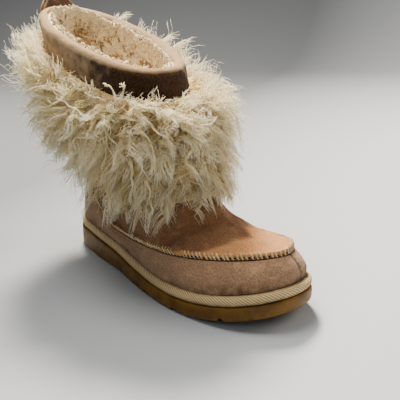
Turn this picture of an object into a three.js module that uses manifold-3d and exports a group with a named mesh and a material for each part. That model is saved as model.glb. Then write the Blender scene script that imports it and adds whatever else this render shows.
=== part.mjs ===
// Sheepskin boot for the right foot: moulded outsole, wrapped midsole, insole, hollow suede upper,
// folded cuff, long wool around the shaft and a pull tab at the back.
// Millimetres, +Z up, toe towards -Y, outer side towards -X, standing on z = 0.

import * as THREE from "three";
import { mergeVertices } from "three/addons/utils/BufferGeometryUtils.js";
import Module from "manifold-3d";

const wasm = await Module();
wasm.setup();

// Driving sizes of the sole
const SOLE_LENGTH = 268;
const HEEL_BACK = 36;
const TOE_RADIUS = 43;
const HEEL_RADIUS = 27;
const INWARD_BEND = 6;
const FOREFOOT_THICKNESS = 11.3;
const HEEL_THICKNESS = 19.6;
const WEDGE_END = 191;
const HEEL_SEAT = 30;
const TOE_SPRING = 14;
const SPRING_START = 182;
const ARCH_START = 70;
const ARCH_END = 150;
const ARCH_LIFT = 1.2;
const MIDSOLE_HEIGHT = 8.2;
const INSOLE_THICKNESS = 4.5;
const GAP = 0.3;

// Driving sizes of the upper and of what it carries
const WALL = 3;
const INWARD_SLANT = 0.04;
const SHAFT_FULLNESS = 0.86;
const CUFF_HEIGHT = 29;
const TAB_WIDTH = 36;
const TAB_RISE = 13;
const TAB_DROP = 15;
const TAB_LEATHER = 2;
const AROUND = 46;

// Half widths of the outsole on each side of its centre line, from the toe (0) to the heel (1)
const FOOTPRINT = [
  { along: 0.05, lateral: 30.1, medial: 31.4 },
  { along: 0.1, lateral: 39.6, medial: 39.6 },
  { along: 0.2, lateral: 48.8, medial: 46.2 },
  { along: 0.33, lateral: 52.0, medial: 46.5 },
  { along: 0.5, lateral: 47.5, medial: 39.0 },
  { along: 0.65, lateral: 41.5, medial: 34.0 },
  { along: 0.8, lateral: 37.6, medial: 34.0 },
  { along: 0.9, lateral: 32.4, medial: 31.0 },
];
const BALL = FOOTPRINT[3];

// Sections of the upper from the sole to the collar. front and back are measured ahead of the
// heel's back edge. toe, ball, waist, quarter and heel are heights above the floor along a section.
// lateral and medial are its half widths, foot is how far its plan follows the footprint, lean
// moves its centre line sideways, point is how sharply its plan closes over the toe (1 is round),
// and raise is a step that stands out of the wall.
const SECTIONS = [
  { front: 262.6, back: 3.6, toe: 32.6, ball: 20.3, waist: 25.4, quarter: 27.8, heel: 28.2,
    lateral: 48.4, medial: 43.4, foot: 1, lean: 0, point: 1, raise: 0 },
  { front: 262.6, back: 4.6, toe: 38.3, ball: 26.2, waist: 27.6, quarter: 34.8, heel: 43,
    lateral: 49.2, medial: 44.2, foot: 1, lean: 0, point: 1.03, raise: 0 },
  { front: 260.6, back: 7, toe: 44, ball: 32.2, waist: 29.7, quarter: 41.4, heel: 57.5,
    lateral: 48.8, medial: 43.6, foot: 1, lean: 0, point: 1.1, raise: 0 },
  { front: 256.6, back: 9.4, toe: 49.6, ball: 37.8, waist: 31.8, quarter: 48.2, heel: 72.8,
    lateral: 47, medial: 41.8, foot: 1, lean: 0, point: 1.2, raise: 0.4 },
  { front: 254.8, back: 9.8, toe: 51.6, ball: 40, waist: 33.1, quarter: 50.6, heel: 77,
    lateral: 46, medial: 40.8, foot: 1, lean: 0, point: 1.25, raise: -0.8 },
  { front: 252.6, back: 10, toe: 54, ball: 42.8, waist: 35.8, quarter: 53.4, heel: 79.5,
    lateral: 44.8, medial: 39.6, foot: 1, lean: 0, point: 1.3, raise: 1.8 },
  { front: 249.6, back: 10.2, toe: 55.4, ball: 45, waist: 38.4, quarter: 56.4, heel: 82.5,
    lateral: 43.4, medial: 38.2, foot: 0.98, lean: 0, point: 1.4, raise: 0 },
  { front: 239, back: 10.4, toe: 57.5, ball: 48.5, waist: 46, quarter: 64, heel: 88,
    lateral: 41, medial: 35.5, foot: 0.92, lean: -0.5, point: 1.7, raise: 0 },
  { front: 225, back: 10.6, toe: 59.4, ball: 54, waist: 56, quarter: 74, heel: 94.5,
    lateral: 38.5, medial: 33, foot: 0.8, lean: -2, point: 2, raise: 0 },
  { front: 210, back: 10.6, toe: 62.8, ball: 61.5, waist: 69, quarter: 84.5, heel: 103,
    lateral: 37, medial: 32.5, foot: 0.62, lean: -4, point: 2, raise: 0 },
  { front: 193, back: 10.4, toe: 72.5, ball: 75.5, waist: 86, quarter: 98, heel: 112,
    lateral: 37, medial: 33.5, foot: 0.4, lean: -6, point: 1.7, raise: 0 },
  { front: 178, back: 9.6, toe: 90, ball: 94.5, waist: 104, quarter: 112, heel: 123,
    lateral: 37.5, medial: 35.5, foot: 0.2, lean: -9, point: 1.3, raise: 0 },
  { front: 165, back: 8.6, toe: 112, ball: 116, waist: 123, quarter: 129, heel: 136,
    lateral: 38, medial: 37, foot: 0.08, lean: -13, point: 1, raise: 0 },
  { front: 157, back: 7, toe: 133, ball: 141, waist: 151, quarter: 156, heel: 161,
    lateral: 39, medial: 38.5, foot: 0, lean: -18, point: 0.84, raise: 0 },
  { front: 156, back: 4.4, toe: 147, ball: 159.9, waist: 175.4, quarter: 182.3, heel: 190,
    lateral: 40.2, medial: 40, foot: 0, lean: -22.4, point: 0.76, raise: 0 },
  { front: 155.5, back: 2.6, toe: 174.5, ball: 187.4, waist: 202.9, quarter: 209.8, heel: 217.5,
    lateral: 40.6, medial: 40.6, foot: 0, lean: -26.6, point: 0.74, raise: 0 },
];
const LANDMARKS = { toe: 0, ball: 0.3, waist: 0.66, quarter: 0.82, heel: 1 };
const COLLAR = SECTIONS.length - 1;

// Outer levels of the upper's wall and the coarser ones of its smooth inside
const OUTER_LEVELS = [0, 1, 2, 3, 3.7, 4, 4.6, 5, 5.5, 6, 7, 8, 9, 10, 11, 12, 13, 14, 15];
const INNER_LEVELS = [0, 1, 2, 3, 4.5, 6, 7, 8, 9, 10, 11, 12, 13, 14, 15];

// Grooves moulded across the outsole, ahead of the heel's back edge, open at both sides
const GROOVES = [22, 110, 154, 192, 235];
const GROOVE_WIDTH = 3.4;
const GROOVE_DEPTH = 3.2;

// Side profile of the outsole: inset from its outline, share of its thickness and distance from
// the face that the share is measured to
const OUTSOLE_SIDE = [
  { inset: 2.4, share: 0, shift: 0 },
  { inset: 0.7, share: 0, shift: 1 },
  { inset: 0, share: 0, shift: 3 },
  { inset: 0, share: 1, shift: -2.2 },
  { inset: 0.6, share: 1, shift: -0.7 },
  { inset: 2.2, share: 1, shift: 0 },
];

// Side profile of the wrapped midsole: inset from the outsole's outline and height above its top
const MIDSOLE_SIDE = [
  { inset: 4, height: GAP },
  { inset: 2, height: GAP + 0.3 },
  { inset: 0.8, height: 1.7 },
  { inset: 0.4, height: 3.8 },
  { inset: 0.9, height: 5.9 },
  { inset: 2.1, height: 7.5 },
  { inset: 3.8, height: MIDSOLE_HEIGHT },
  { inset: 9, height: MIDSOLE_HEIGHT },
];

// Side profile of the insole: level of the upper beside it, clearance and height above the midsole
const INSOLE_SIDE = [
  { level: 0, inset: 1.2, height: GAP },
  { level: 0.2, inset: 0.8, height: 1.5 },
  { level: 0.8, inset: 0.9, height: INSOLE_THICKNESS - 1 },
  { level: 0.9, inset: 2.2, height: INSOLE_THICKNESS },
];

// Fold of the cuff around the collar's edge: height above that edge and distance out of the wall
const CUFF_FOLD = [
  { up: -CUFF_HEIGHT + 1.4, out: GAP + 0.1 },
  { up: -CUFF_HEIGHT, out: 1.8 },
  { up: -CUFF_HEIGHT + 2.5, out: 4.2 },
  { up: -14, out: 4.4 },
  { up: -1, out: 3.8 },
  { up: 2.2, out: 1.2 },
  { up: 2.6, out: -2.6 },
  { up: 0.4, out: -5.6 },
  { up: -4, out: -6.2 },
  { up: -10, out: -5 },
  { up: -9.6, out: -WALL - GAP - 0.1 },
  { up: GAP + 0.1, out: -WALL - GAP - 0.1 },
  { up: GAP + 0.1, out: GAP + 0.1 },
];

// Middle line of the pull tab's folded strap, from the ply on the cuff over the top to the outer ply
const TAB_PATH = [
  { up: -TAB_DROP, out: 6.2 },
  { up: -8, out: 6 },
  { up: 2, out: 5.9 },
  { up: 7, out: 5.7 },
  { up: 10, out: 5.5 },
  { up: 11.4, out: 6.4 },
  { up: TAB_RISE - TAB_LEATHER / 2, out: 8.1 },
  { up: 11.4, out: 9.8 },
  { up: 10, out: 10.5 },
  { up: 7, out: 9.9 },
  { up: 2, out: 9.2 },
  { up: -8, out: 8.7 },
  { up: -TAB_DROP, out: 8.7 },
];
const TAB_STATIONS = [-1, -0.6, -0.2, 0.2, 0.6, 1];
const TAB_CLEARANCE = 1.06;

// Share of its full width that the pull tab keeps at a height above the collar's edge
const TAB_TAPER = [
  { up: -12, width: 1 },
  { up: 2.5, width: 0.72 },
  { up: 7.5, width: 0.5 },
  { up: TAB_RISE, width: 0.26 },
];

// Wool: a band with its own swell, and rows of tapered locks from the lowest to the highest, which
// hang less, and at the top stand out level, towards the heel
const WOOL_BASE = { toe: 10.5, waist: 9.2, heel: 9.6 };
const WOOL_TOP = 14.25;
const WOOL_SWELL = [7, 16, 22, 25, 25, 17];
const LOCK_ROWS = [
  { height: 0.03, count: 11, reach: 10, drop: 20, heelDrop: 0, width: 14 },
  { height: 0.28, count: 11, reach: 24, drop: 32, heelDrop: 12, width: 18 },
  { height: 0.58, count: 11, reach: 32, drop: 32, heelDrop: 12, width: 19 },
  { height: 0.88, count: 9, reach: 36, drop: 12, heelDrop: -16, width: 17.5 },
];
const FRONT_FULLNESS = 12;
const LOCK_SIDES = 5;
const LOCK_STEPS = 3;
const LOCK_TIP = 0.22;
const LOCK_FLATNESS = 0.48;

// Value of a smooth curve through the points (xs, ys) that never overshoots them
function smoothCurve(x, xs, ys) {
  const last = xs.length - 1;
  if (x <= xs[0]) return ys[0];
  if (x >= xs[last]) return ys[last];
  const slopes = ys.slice(1).map((y, i) => (y - ys[i]) / (xs[i + 1] - xs[i]));
  const tangent = (i) => {
    if (i === 0) return slopes[0];
    if (i === last) return slopes[last - 1];
    const product = slopes[i - 1] * slopes[i];
    return product <= 0 ? 0 : (2 * product) / (slopes[i - 1] + slopes[i]);
  };
  const i = xs.findIndex((value) => value > x) - 1;
  const span = xs[i + 1] - xs[i];
  const s = (x - xs[i]) / span;
  const rise = s * s * (3 - 2 * s);
  const leaving = s * (1 - s) * (1 - s) * span * tangent(i);
  const arriving = s * s * (s - 1) * span * tangent(i + 1);
  return ys[i] + (ys[i + 1] - ys[i]) * rise + leaving + arriving;
}

function smoothStep(value) {
  const s = THREE.MathUtils.clamp(value, 0, 1);
  return s * s * (3 - 2 * s);
}

// Repeatable number between 0 and 1 for the item with this index
function scatter(index, salt) {
  const wave = Math.sin(index * 12.9898 + salt * 78.233) * 43758.5453;
  return wave - Math.floor(wave);
}

// Distance ahead of the heel's back edge
const ahead = (y) => HEEL_BACK - y;

// Height of the sole's underside: flat heel, low arch, flat forefoot, toe spring
function undersideHeight(y) {
  const spring = Math.max((ahead(y) - SPRING_START) / (SOLE_LENGTH - SPRING_START), 0);
  const arch = THREE.MathUtils.clamp((ahead(y) - ARCH_START) / (ARCH_END - ARCH_START), 0, 1);
  return TOE_SPRING * spring * spring + ARCH_LIFT * Math.sin(Math.PI * arch) ** 2;
}

// Height of the outsole's top face: the spring carried up by a wedge that is thickest at the heel
function outsoleTop(y) {
  const wedge = smoothStep((WEDGE_END - ahead(y)) / (WEDGE_END - HEEL_SEAT));
  const thickness = FOREFOOT_THICKNESS + (HEEL_THICKNESS - FOREFOOT_THICKNESS) * wedge;
  const spring = Math.max((ahead(y) - SPRING_START) / (SOLE_LENGTH - SPRING_START), 0);
  return TOE_SPRING * spring * spring + thickness;
}

const midsoleTop = (y) => outsoleTop(y) + MIDSOLE_HEIGHT;

// Breadth of the footprint's plan as the amplitude of a sine wave, so that both ends are round
const ENDS = { toe: Math.sqrt((TOE_RADIUS * SOLE_LENGTH) / 2), heel: Math.sqrt((HEEL_RADIUS * SOLE_LENGTH) / 2) };
const STATIONS = [0, ...FOOTPRINT.map((row) => row.along), 1];
const AMPLITUDES = {
  lateral: amplitudes("lateral"),
  medial: amplitudes("medial"),
};

function amplitudes(side) {
  const inner = FOOTPRINT.map((row) => row[side] / (2 * Math.sqrt(row.along * (1 - row.along))));
  return [ENDS.toe, ...inner, ENDS.heel];
}

// Angles run from the toe (0) along the outer side to the heel (pi) and back along the inner side
const sideOf = (angle) => (Math.sin(angle) > 0 ? "lateral" : "medial");
const alongOf = (angle) => (1 - Math.cos(angle)) / 2;

// Point of the sole's outline, moved in by the inset
function outlinePoint(angle, inset, height) {
  const along = alongOf(angle);
  const amplitude = smoothCurve(along, STATIONS, AMPLITUDES[sideOf(angle)]) - inset;
  const x = -amplitude * Math.sin(angle) + INWARD_BEND * (1 - along) ** 2;
  const y = HEEL_BACK - inset - (SOLE_LENGTH - 2 * inset) * (1 - along);
  return new THREE.Vector3(x, y, height(y));
}

// One column of the section table at a level between two rows
const LEVELS = SECTIONS.map((row, index) => index);
const COLUMNS = Object.fromEntries(
  Object.keys(SECTIONS[0]).map((name) => [name, SECTIONS.map((row) => row[name])]),
);
const sectionValue = (name, level) => smoothCurve(level, LEVELS, COLUMNS[name]);

// Point of the upper's smooth outer form
function formPoint(angle, level) {
  const along = alongOf(angle);
  const side = sideOf(angle);
  const foot = sectionValue("foot", level);
  const half = sectionValue(side, level);
  const amplitude = half + foot * (smoothCurve(along, STATIONS, AMPLITUDES[side]) - BALL[side]);
  const end = along < 0.5 ? sectionValue("point", level) : SHAFT_FULLNESS + (1 - SHAFT_FULLNESS) * foot;
  const swing = Math.sign(Math.sin(angle)) * Math.abs(Math.sin(angle)) ** end;
  const centre = foot * INWARD_BEND * (1 - along) ** 2 + sectionValue("lean", level);
  const front = sectionValue("front", level);
  const back = sectionValue("back", level);
  const y = HEEL_BACK - back - (front - back) * (1 - along);
  const heights = Object.keys(LANDMARKS).map((name) => sectionValue(name, level));
  const free = smoothCurve(along, Object.values(LANDMARKS), heights);
  const x = centre - amplitude * swing;
  const slanted = free - foot * INWARD_SLANT * x;
  const seated = midsoleTop(y) + GAP;
  const seat = Math.max(1 - level, 0);
  return new THREE.Vector3(x, y, slanted + (seated - slanted) * seat);
}

// Outward direction of the form, level with the floor where the upper meets the sole
function formNormal(angle, level) {
  const step = 0.01;
  const low = Math.max(level - step, 0);
  const high = Math.min(level + step, COLLAR);
  const round = formPoint(angle + step, level).sub(formPoint(angle - step, level));
  const rise = formPoint(angle, high).sub(formPoint(angle, low));
  const normal = rise.cross(round).normalize();
  normal.z *= Math.min(level, 1);
  return normal.normalize();
}

// Point at a distance out of the upper's form
function wallPoint(angle, level, out) {
  const point = formPoint(angle, level).addScaledVector(formNormal(angle, level), out);
  if (level === 0) point.z = midsoleTop(point.y) + GAP;
  return point;
}

// Point near the collar: height above its edge along the shaft, and distance out of the wall
function collarPoint(angle, up, out) {
  const edge = formPoint(angle, COLLAR);
  const below = formPoint(angle, COLLAR - 1);
  const length = edge.distanceTo(below);
  const level = COLLAR + Math.min(up, 0) / length;
  const rise = edge.sub(below).normalize();
  return wallPoint(angle, level, out).addScaledVector(rise, Math.max(up, 0));
}

const circle = (count) => Array.from({ length: count }, (_, i) => (2 * Math.PI * i) / count);
const ring = (count, point) => circle(count).map(point);

// Closed body from points and triangles, turned so that its faces point out
function body(points, triangles) {
  let volume = 0;
  for (const [a, b, c] of triangles) volume += points[a].dot(points[b].clone().cross(points[c]));
  const faces = volume < 0 ? triangles.map(([a, b, c]) => [a, c, b]) : triangles;
  const geometry = new THREE.BufferGeometry();
  geometry.setAttribute("position", new THREE.Float32BufferAttribute(points.flatMap((p) => p.toArray()), 3));
  geometry.setIndex(faces.flat());
  return geometry;
}

// Two triangles for each cell between one ring and the next
function skin(first, second, count) {
  return circle(count).flatMap((_, i) => {
    const j = (i + 1) % count;
    return [[first + i, first + j, second + j], [first + i, second + j, second + i]];
  });
}

// Strips across a ring, from its outer side to its inner side, so that they follow its curve
function strips(first, count, flip) {
  const cells = [];
  for (let i = 0; i < count / 2; i += 1) {
    const [a, b] = [first + i, first + i + 1];
    const [c, d] = [first + ((count - i) % count), first + count - i - 1];
    if (a !== c) cells.push([a, b, c]);
    if (b !== d) cells.push([b, d, c]);
  }
  return flip ? cells.map(([a, b, c]) => [a, c, b]) : cells;
}

// Solid through a stack of rings, closed over its first and last ring
function stackedBody(rings) {
  const count = rings[0].length;
  const triangles = rings.slice(1).flatMap((_, i) => skin(i * count, (i + 1) * count, count));
  triangles.push(...strips(0, count, true), ...strips((rings.length - 1) * count, count, false));
  return body(rings.flat(), triangles);
}

// Hollow solid through rings that come back to the first one
function hollowBody(rings) {
  const count = rings[0].length;
  const triangles = rings.flatMap((_, i) => skin(i * count, ((i + 1) % rings.length) * count, count));
  return body(rings.flat(), triangles);
}

// Solid for joining and cutting, and the way back to a geometry
function toManifold(geometry) {
  const plain = geometry.clone();
  plain.deleteAttribute("normal");
  plain.deleteAttribute("uv");
  const merged = mergeVertices(plain);
  const mesh = new wasm.Mesh({
    numProp: 3,
    vertProperties: new Float32Array(merged.attributes.position.array),
    triVerts: new Uint32Array(merged.index.array),
  });
  return new wasm.Manifold(mesh);
}

function toGeometry(manifold) {
  const mesh = manifold.getMesh();
  const geometry = new THREE.BufferGeometry();
  geometry.setAttribute("position", new THREE.Float32BufferAttribute(mesh.vertProperties, 3));
  geometry.setIndex(Array.from(mesh.triVerts));
  return geometry;
}

// A bar across the sole for one groove, following the sole's underside
function grooveBar(distance) {
  const half = GROOVE_WIDTH / 2;
  const shape = new THREE.Shape();
  shape.moveTo(-half, -GROOVE_DEPTH);
  shape.lineTo(half, -GROOVE_DEPTH);
  shape.lineTo(half, GROOVE_DEPTH - half);
  shape.absarc(0, GROOVE_DEPTH - half, half, 0, Math.PI, false);
  const reach = 3 * BALL.lateral;
  const geometry = new THREE.ExtrudeGeometry(shape, { depth: reach, bevelEnabled: false, curveSegments: 3 });
  geometry.rotateX(Math.PI / 2);
  geometry.rotateZ(Math.PI / 2);
  const y = HEEL_BACK - distance;
  geometry.translate(-reach / 2, y, undersideHeight(y));
  return toManifold(geometry);
}

function outsole() {
  const rings = OUTSOLE_SIDE.map(({ inset, share, shift }) =>
    ring(AROUND, (angle) =>
      outlinePoint(angle, inset, (y) => shift + (share ? outsoleTop(y) : undersideHeight(y))),
    ),
  );
  const grooves = GROOVES.map(grooveBar);
  return toGeometry(toManifold(stackedBody(rings)).subtract(wasm.Manifold.union(grooves)));
}

function midsole() {
  return stackedBody(
    MIDSOLE_SIDE.map(({ inset, height }) =>
      ring(AROUND, (angle) => outlinePoint(angle, inset, (y) => outsoleTop(y) + height)),
    ),
  );
}

// The insole lies on the midsole and stands clear of the upper's own inside
function insole() {
  return stackedBody(
    INSOLE_SIDE.map(({ level, inset, height }) =>
      ring(AROUND, (angle) => {
        const point = wallPoint(angle, level, -WALL - inset);
        point.z = midsoleTop(point.y) + height;
        return point;
      }),
    ),
  );
}

function upper() {
  const outer = OUTER_LEVELS.map((level) =>
    ring(AROUND, (angle) => wallPoint(angle, level, sectionValue("raise", level))),
  );
  const inner = INNER_LEVELS.map((level) => ring(AROUND, (angle) => wallPoint(angle, level, -WALL)));
  return hollowBody([...outer, ...inner.reverse()]);
}

function cuff() {
  return hollowBody(CUFF_FOLD.map(({ up, out }) => ring(AROUND, (angle) => collarPoint(angle, up, out))));
}

// The upper as a filled form with clearance, for cutting what lies around it
function upperForm() {
  return toManifold(
    stackedBody(
      OUTER_LEVELS.map((level) =>
        ring(AROUND, (angle) => wallPoint(angle, level, Math.max(sectionValue("raise", level), 0) + GAP)),
      ),
    ),
  );
}

// The cuff as a filled form with clearance
function cuffForm() {
  const outside = CUFF_FOLD.filter(({ out }) => out > 1).map(({ up, out }) => ({ up, out: out + GAP }));
  const fold = [{ up: -CUFF_HEIGHT - GAP, out: 0 }, ...outside, { up: 3, out: 0 }];
  return toManifold(stackedBody(fold.map(({ up, out }) => ring(AROUND, (a) => collarPoint(a, up, out)))));
}

// Level of the upper at a share of the wool's height, lower at the heel than over the instep
function woolLevel(angle, share) {
  const { toe, waist, heel } = WOOL_BASE;
  const base = smoothCurve(alongOf(angle), [0, 0.5, 1], [toe, waist, heel]);
  return base + (WOOL_TOP - base) * share;
}

// One lock: a flattened tapered tube that leaves the shaft, then droops under its own weight
function lock(row, index, seed) {
  const turn = (index + 0.5 * (seed % 2) + 0.5 * scatter(index, seed)) / row.count;
  const angle = 2 * Math.PI * turn;
  const level = woolLevel(angle, row.height);
  const normal = formNormal(angle, level);
  const root = wallPoint(angle, level, 4);
  const sideways = new THREE.Vector3(0, 0, 1).cross(normal).normalize();
  const hang = THREE.MathUtils.lerp(row.drop, row.heelDrop, smoothStep((alongOf(angle) - 0.4) / 0.6));
  const sway = (scatter(index, seed + 7) - 0.5) * row.drop;
  const fuller = 1 + (FRONT_FULLNESS / row.reach) * Math.max(Math.cos(angle), 0) * row.height;
  const reach = row.reach * fuller * (0.85 + 0.3 * scatter(index, seed + 3));
  const drop = hang * (0.8 + 0.4 * scatter(index, seed + 5));
  const path = (s) =>
    root
      .clone()
      .addScaledVector(normal, reach * s * (1.6 - 0.6 * s))
      .addScaledVector(sideways, sway * s * s)
      .add(new THREE.Vector3(0, 0, -drop * s * s));
  const rings = [];
  for (let step = 0; step <= LOCK_STEPS; step += 1) {
    const s = step / LOCK_STEPS;
    const centre = path(s);
    const heading = path(s + 0.05).sub(path(s - 0.05)).normalize();
    const across = heading.clone().cross(normal.clone().add(new THREE.Vector3(0, 0, 1))).normalize();
    const thick = heading.clone().cross(across).normalize();
    const radius = row.width * (LOCK_TIP + (1 - LOCK_TIP) * (1 - s * s));
    rings.push(
      ring(LOCK_SIDES, (a) =>
        centre
          .clone()
          .addScaledVector(across, radius * Math.cos(a))
          .addScaledVector(thick, radius * LOCK_FLATNESS * Math.sin(a)),
      ),
    );
  }
  return toManifold(tube(rings));
}

// Solid through a stack of small rings, closed by a fan at each end
function tube(rings) {
  const count = rings[0].length;
  const triangles = rings.slice(1).flatMap((_, i) => skin(i * count, (i + 1) * count, count));
  const last = (rings.length - 1) * count;
  for (let i = 1; i < count - 1; i += 1) {
    triangles.push([0, i + 1, i], [last, last + i, last + i + 1]);
  }
  return body(rings.flat(), triangles);
}

// The band with its locks, without any tip that the upper cuts off
function largestBody(manifold) {
  return manifold.decompose().reduce((best, part) => (part.volume() > best.volume() ? part : best));
}

function wool() {
  const swell = WOOL_SWELL.map((out, i) => ({ share: i / (WOOL_SWELL.length - 1), out: Math.max(out, 2) }));
  const outside = swell.map(({ share, out }) =>
    ring(AROUND, (angle) => wallPoint(angle, woolLevel(angle, share), out)),
  );
  const inside = swell.map(({ share }) =>
    ring(AROUND, (angle) => wallPoint(angle, woolLevel(angle, share), -1)),
  );
  const band = toManifold(hollowBody([...outside, ...inside.reverse()]));
  const locks = LOCK_ROWS.flatMap((row, seed) =>
    Array.from({ length: row.count }, (_, index) => lock(row, index, seed)),
  );
  const around = wasm.Manifold.union([upperForm(), cuffForm(), tabForm()]);
  return toGeometry(largestBody(wasm.Manifold.union([band, ...locks]).subtract(around)));
}

// Outline of a folded strap: its middle line moved to both sides by half the leather
function strapOutline(path, leather) {
  const moved = (side) =>
    path.map(({ up, out }, i) => {
      const before = path[Math.max(i - 1, 0)];
      const after = path[Math.min(i + 1, path.length - 1)];
      const length = Math.hypot(after.up - before.up, after.out - before.out);
      const reach = (side * leather) / 2 / length;
      return { up: up - (after.out - before.out) * reach, out: out + (after.up - before.up) * reach };
    });
  return [path[0], ...moved(1), path[path.length - 1], ...moved(-1).reverse()];
}

// Body through one outline, given by height above the collar's edge and distance out of the wall,
// across the back of the shaft, as wide as the pull tab times the widening
function acrossBack(outline, widening) {
  const spread = Math.asin((TAB_WIDTH / 2 / sectionValue("lateral", COLLAR)) ** (1 / SHAFT_FULLNESS));
  const heights = TAB_TAPER.map((row) => row.up);
  const widths = TAB_TAPER.map((row) => row.width);
  const turn = (station, up) => station * widening * spread * smoothCurve(up, heights, widths);
  const rings = TAB_STATIONS.map((station) =>
    outline.map(({ up, out }) => collarPoint(Math.PI + turn(station, up), up, out)),
  );
  return stackedBody(rings);
}

// The pull tab: one strap folded at its top, narrower there, both ends against the back of the cuff
const pullTab = () => acrossBack(strapOutline(TAB_PATH, TAB_LEATHER), 1);

// Room for the pull tab, for cutting the wool below and beside it
function tabForm() {
  const inside = TAB_PATH[0].out - TAB_LEATHER;
  const outside = Math.max(...TAB_PATH.map(({ out }) => out)) + TAB_LEATHER;
  const room = [
    { up: -TAB_DROP - 2 * GAP, out: inside },
    { up: TAB_RISE, out: inside },
    { up: TAB_RISE, out: outside },
    { up: -TAB_DROP - 2 * GAP, out: outside },
  ];
  return toManifold(acrossBack(room, TAB_CLEARANCE));
}

const FINISHES = {
  gum: { color: 0xa87b3f, roughness: 0.55 },
  tape: { color: 0xb39a72, roughness: 0.9 },
  fleece: { color: 0xe6d3ab, roughness: 1 },
  suede: { color: 0xb08d70, roughness: 0.95 },
  nap: { color: 0x8c6a52, roughness: 0.95 },
  leather: { color: 0x5d4030, roughness: 0.7 },
};

function piece(name, geometry, finish) {
  const mesh = new THREE.Mesh(geometry, new THREE.MeshStandardMaterial({ ...FINISHES[finish], metalness: 0 }));
  mesh.name = name;
  return mesh;
}

const boot = new THREE.Group();
boot.add(
  piece("outsole", outsole(), "gum"),
  piece("midsole", midsole(), "tape"),
  piece("insole", insole(), "fleece"),
  piece("upper", upper(), "suede"),
  piece("cuff", cuff(), "nap"),
  piece("wool", wool(), "fleece"),
  piece("pull_tab", pullTab(), "leather"),
);

export default boot;
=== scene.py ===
"""Looks of the right sheepskin boot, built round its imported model.

Everything is in metres in the model's own frame: +Z up, toe towards -Y, outer side towards -X.
The boot's form is worked out in millimetres, as on a last, and turned to metres where a mesh is made.
"""

import logging
import math
from dataclasses import dataclass
from enum import Enum

import bpy
import numpy as np
from mathutils import Matrix, Vector


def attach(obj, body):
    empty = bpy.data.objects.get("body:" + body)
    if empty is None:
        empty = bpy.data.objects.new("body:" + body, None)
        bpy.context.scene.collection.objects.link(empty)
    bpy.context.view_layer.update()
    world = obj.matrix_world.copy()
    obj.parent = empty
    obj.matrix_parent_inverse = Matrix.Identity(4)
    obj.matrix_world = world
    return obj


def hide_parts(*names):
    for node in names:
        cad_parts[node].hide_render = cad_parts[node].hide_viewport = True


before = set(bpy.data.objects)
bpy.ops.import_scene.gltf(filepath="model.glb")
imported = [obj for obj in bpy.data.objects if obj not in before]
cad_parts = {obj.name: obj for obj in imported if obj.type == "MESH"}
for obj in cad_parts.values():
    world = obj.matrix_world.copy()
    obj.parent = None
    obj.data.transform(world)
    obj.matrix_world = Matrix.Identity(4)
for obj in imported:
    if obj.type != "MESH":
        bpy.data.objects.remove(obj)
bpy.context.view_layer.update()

BODY = "root"
MM = 0.001
FULL_TURN = 2 * math.pi

logging.basicConfig(level=logging.INFO, format="%(message)s")
log = logging.getLogger("boot")

bpy.ops.object.select_all(action="DESELECT")


def colour(hex_value: str) -> tuple[float, float, float, float]:
    """Turns an sRGB hex value into the linear colour that a shader takes.

    Args:
        hex_value: Six hex digits, red first.

    Returns:
        Linear red, green, blue and alpha.
    """
    channels = [int(hex_value[i : i + 2], 16) / 255 for i in (0, 2, 4)]
    linear = [c / 12.92 if c <= 0.04045 else ((c + 0.055) / 1.055) ** 2.4 for c in channels]
    return (*linear, 1.0)


def smooth_curve(x: np.ndarray, xs: list[float], ys: np.ndarray) -> np.ndarray:
    """Reads a smooth curve that never overshoots its points.

    Args:
        x: Places to read the curve at.
        xs: Rising places of the curve's points.
        ys: Values at those places, one row for all of x or one for each.

    Returns:
        The curve's values, with the shape of x.
    """
    xs = np.asarray(xs, float)
    x = np.clip(np.asarray(x, float), xs[0], xs[-1])
    ys = np.broadcast_to(np.asarray(ys, float), x.shape + xs.shape)
    slopes = np.diff(ys, axis=-1) / np.diff(xs)
    before, after = slopes[..., :-1], slopes[..., 1:]
    product, total = before * after, before + after
    middle = np.where(product > 0, 2 * product / np.where(total == 0, 1, total), 0)
    tangents = np.concatenate([slopes[..., :1], middle, slopes[..., -1:]], axis=-1)
    i = np.clip(np.searchsorted(xs, x, side="right") - 1, 0, len(xs) - 2)

    def pick(values: np.ndarray, index: np.ndarray) -> np.ndarray:
        """Value of each place's own row at an index."""
        return np.take_along_axis(values, index[..., None], -1)[..., 0]

    span = xs[i + 1] - xs[i]
    s = (x - xs[i]) / span
    low, high = pick(ys, i), pick(ys, i + 1)
    bend = s * (1 - s) ** 2 * span * pick(tangents, i) + s * s * (s - 1) * span * pick(tangents, i + 1)
    return low + (high - low) * s * s * (3 - 2 * s) + bend


def smooth_step(value: np.ndarray) -> np.ndarray:
    """Eases a value from 0 to 1."""
    s = np.clip(value, 0, 1)
    return s * s * (3 - 2 * s)


def unit(vectors: np.ndarray) -> np.ndarray:
    """Vectors at length one."""
    return vectors / np.maximum(np.linalg.norm(vectors, axis=-1, keepdims=True), 1e-9)


def bell(distance: np.ndarray, width: float) -> np.ndarray:
    """Soft bump that is 1 at distance 0 and fades over the width."""
    return np.exp(-((distance / width) ** 2))


def run_along(line: np.ndarray) -> np.ndarray:
    """Distance from a line's start to each of its points."""
    return np.concatenate([[0], np.cumsum(np.linalg.norm(np.diff(line, axis=0), axis=-1))])


LUMP_WAVES = 9
LUMP_PITCHES = (0.5, 1.4)


def lumps(points: np.ndarray, size: float, seed: int) -> np.ndarray:
    """Soft repeatable unevenness between about -1 and 1.

    Args:
        points: Places in millimetres.
        size: Rough size of one lump in millimetres.
        seed: Which pattern.

    Returns:
        One value for each point.
    """
    random = np.random.default_rng(seed)
    total = np.zeros(points.shape[:-1])
    for _ in range(LUMP_WAVES):
        direction = unit(random.normal(size=3)) * FULL_TURN / size * random.uniform(*LUMP_PITCHES)
        total += np.sin(points @ direction + random.uniform(0, FULL_TURN))
    return total / math.sqrt(LUMP_WAVES * 1.5)


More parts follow.
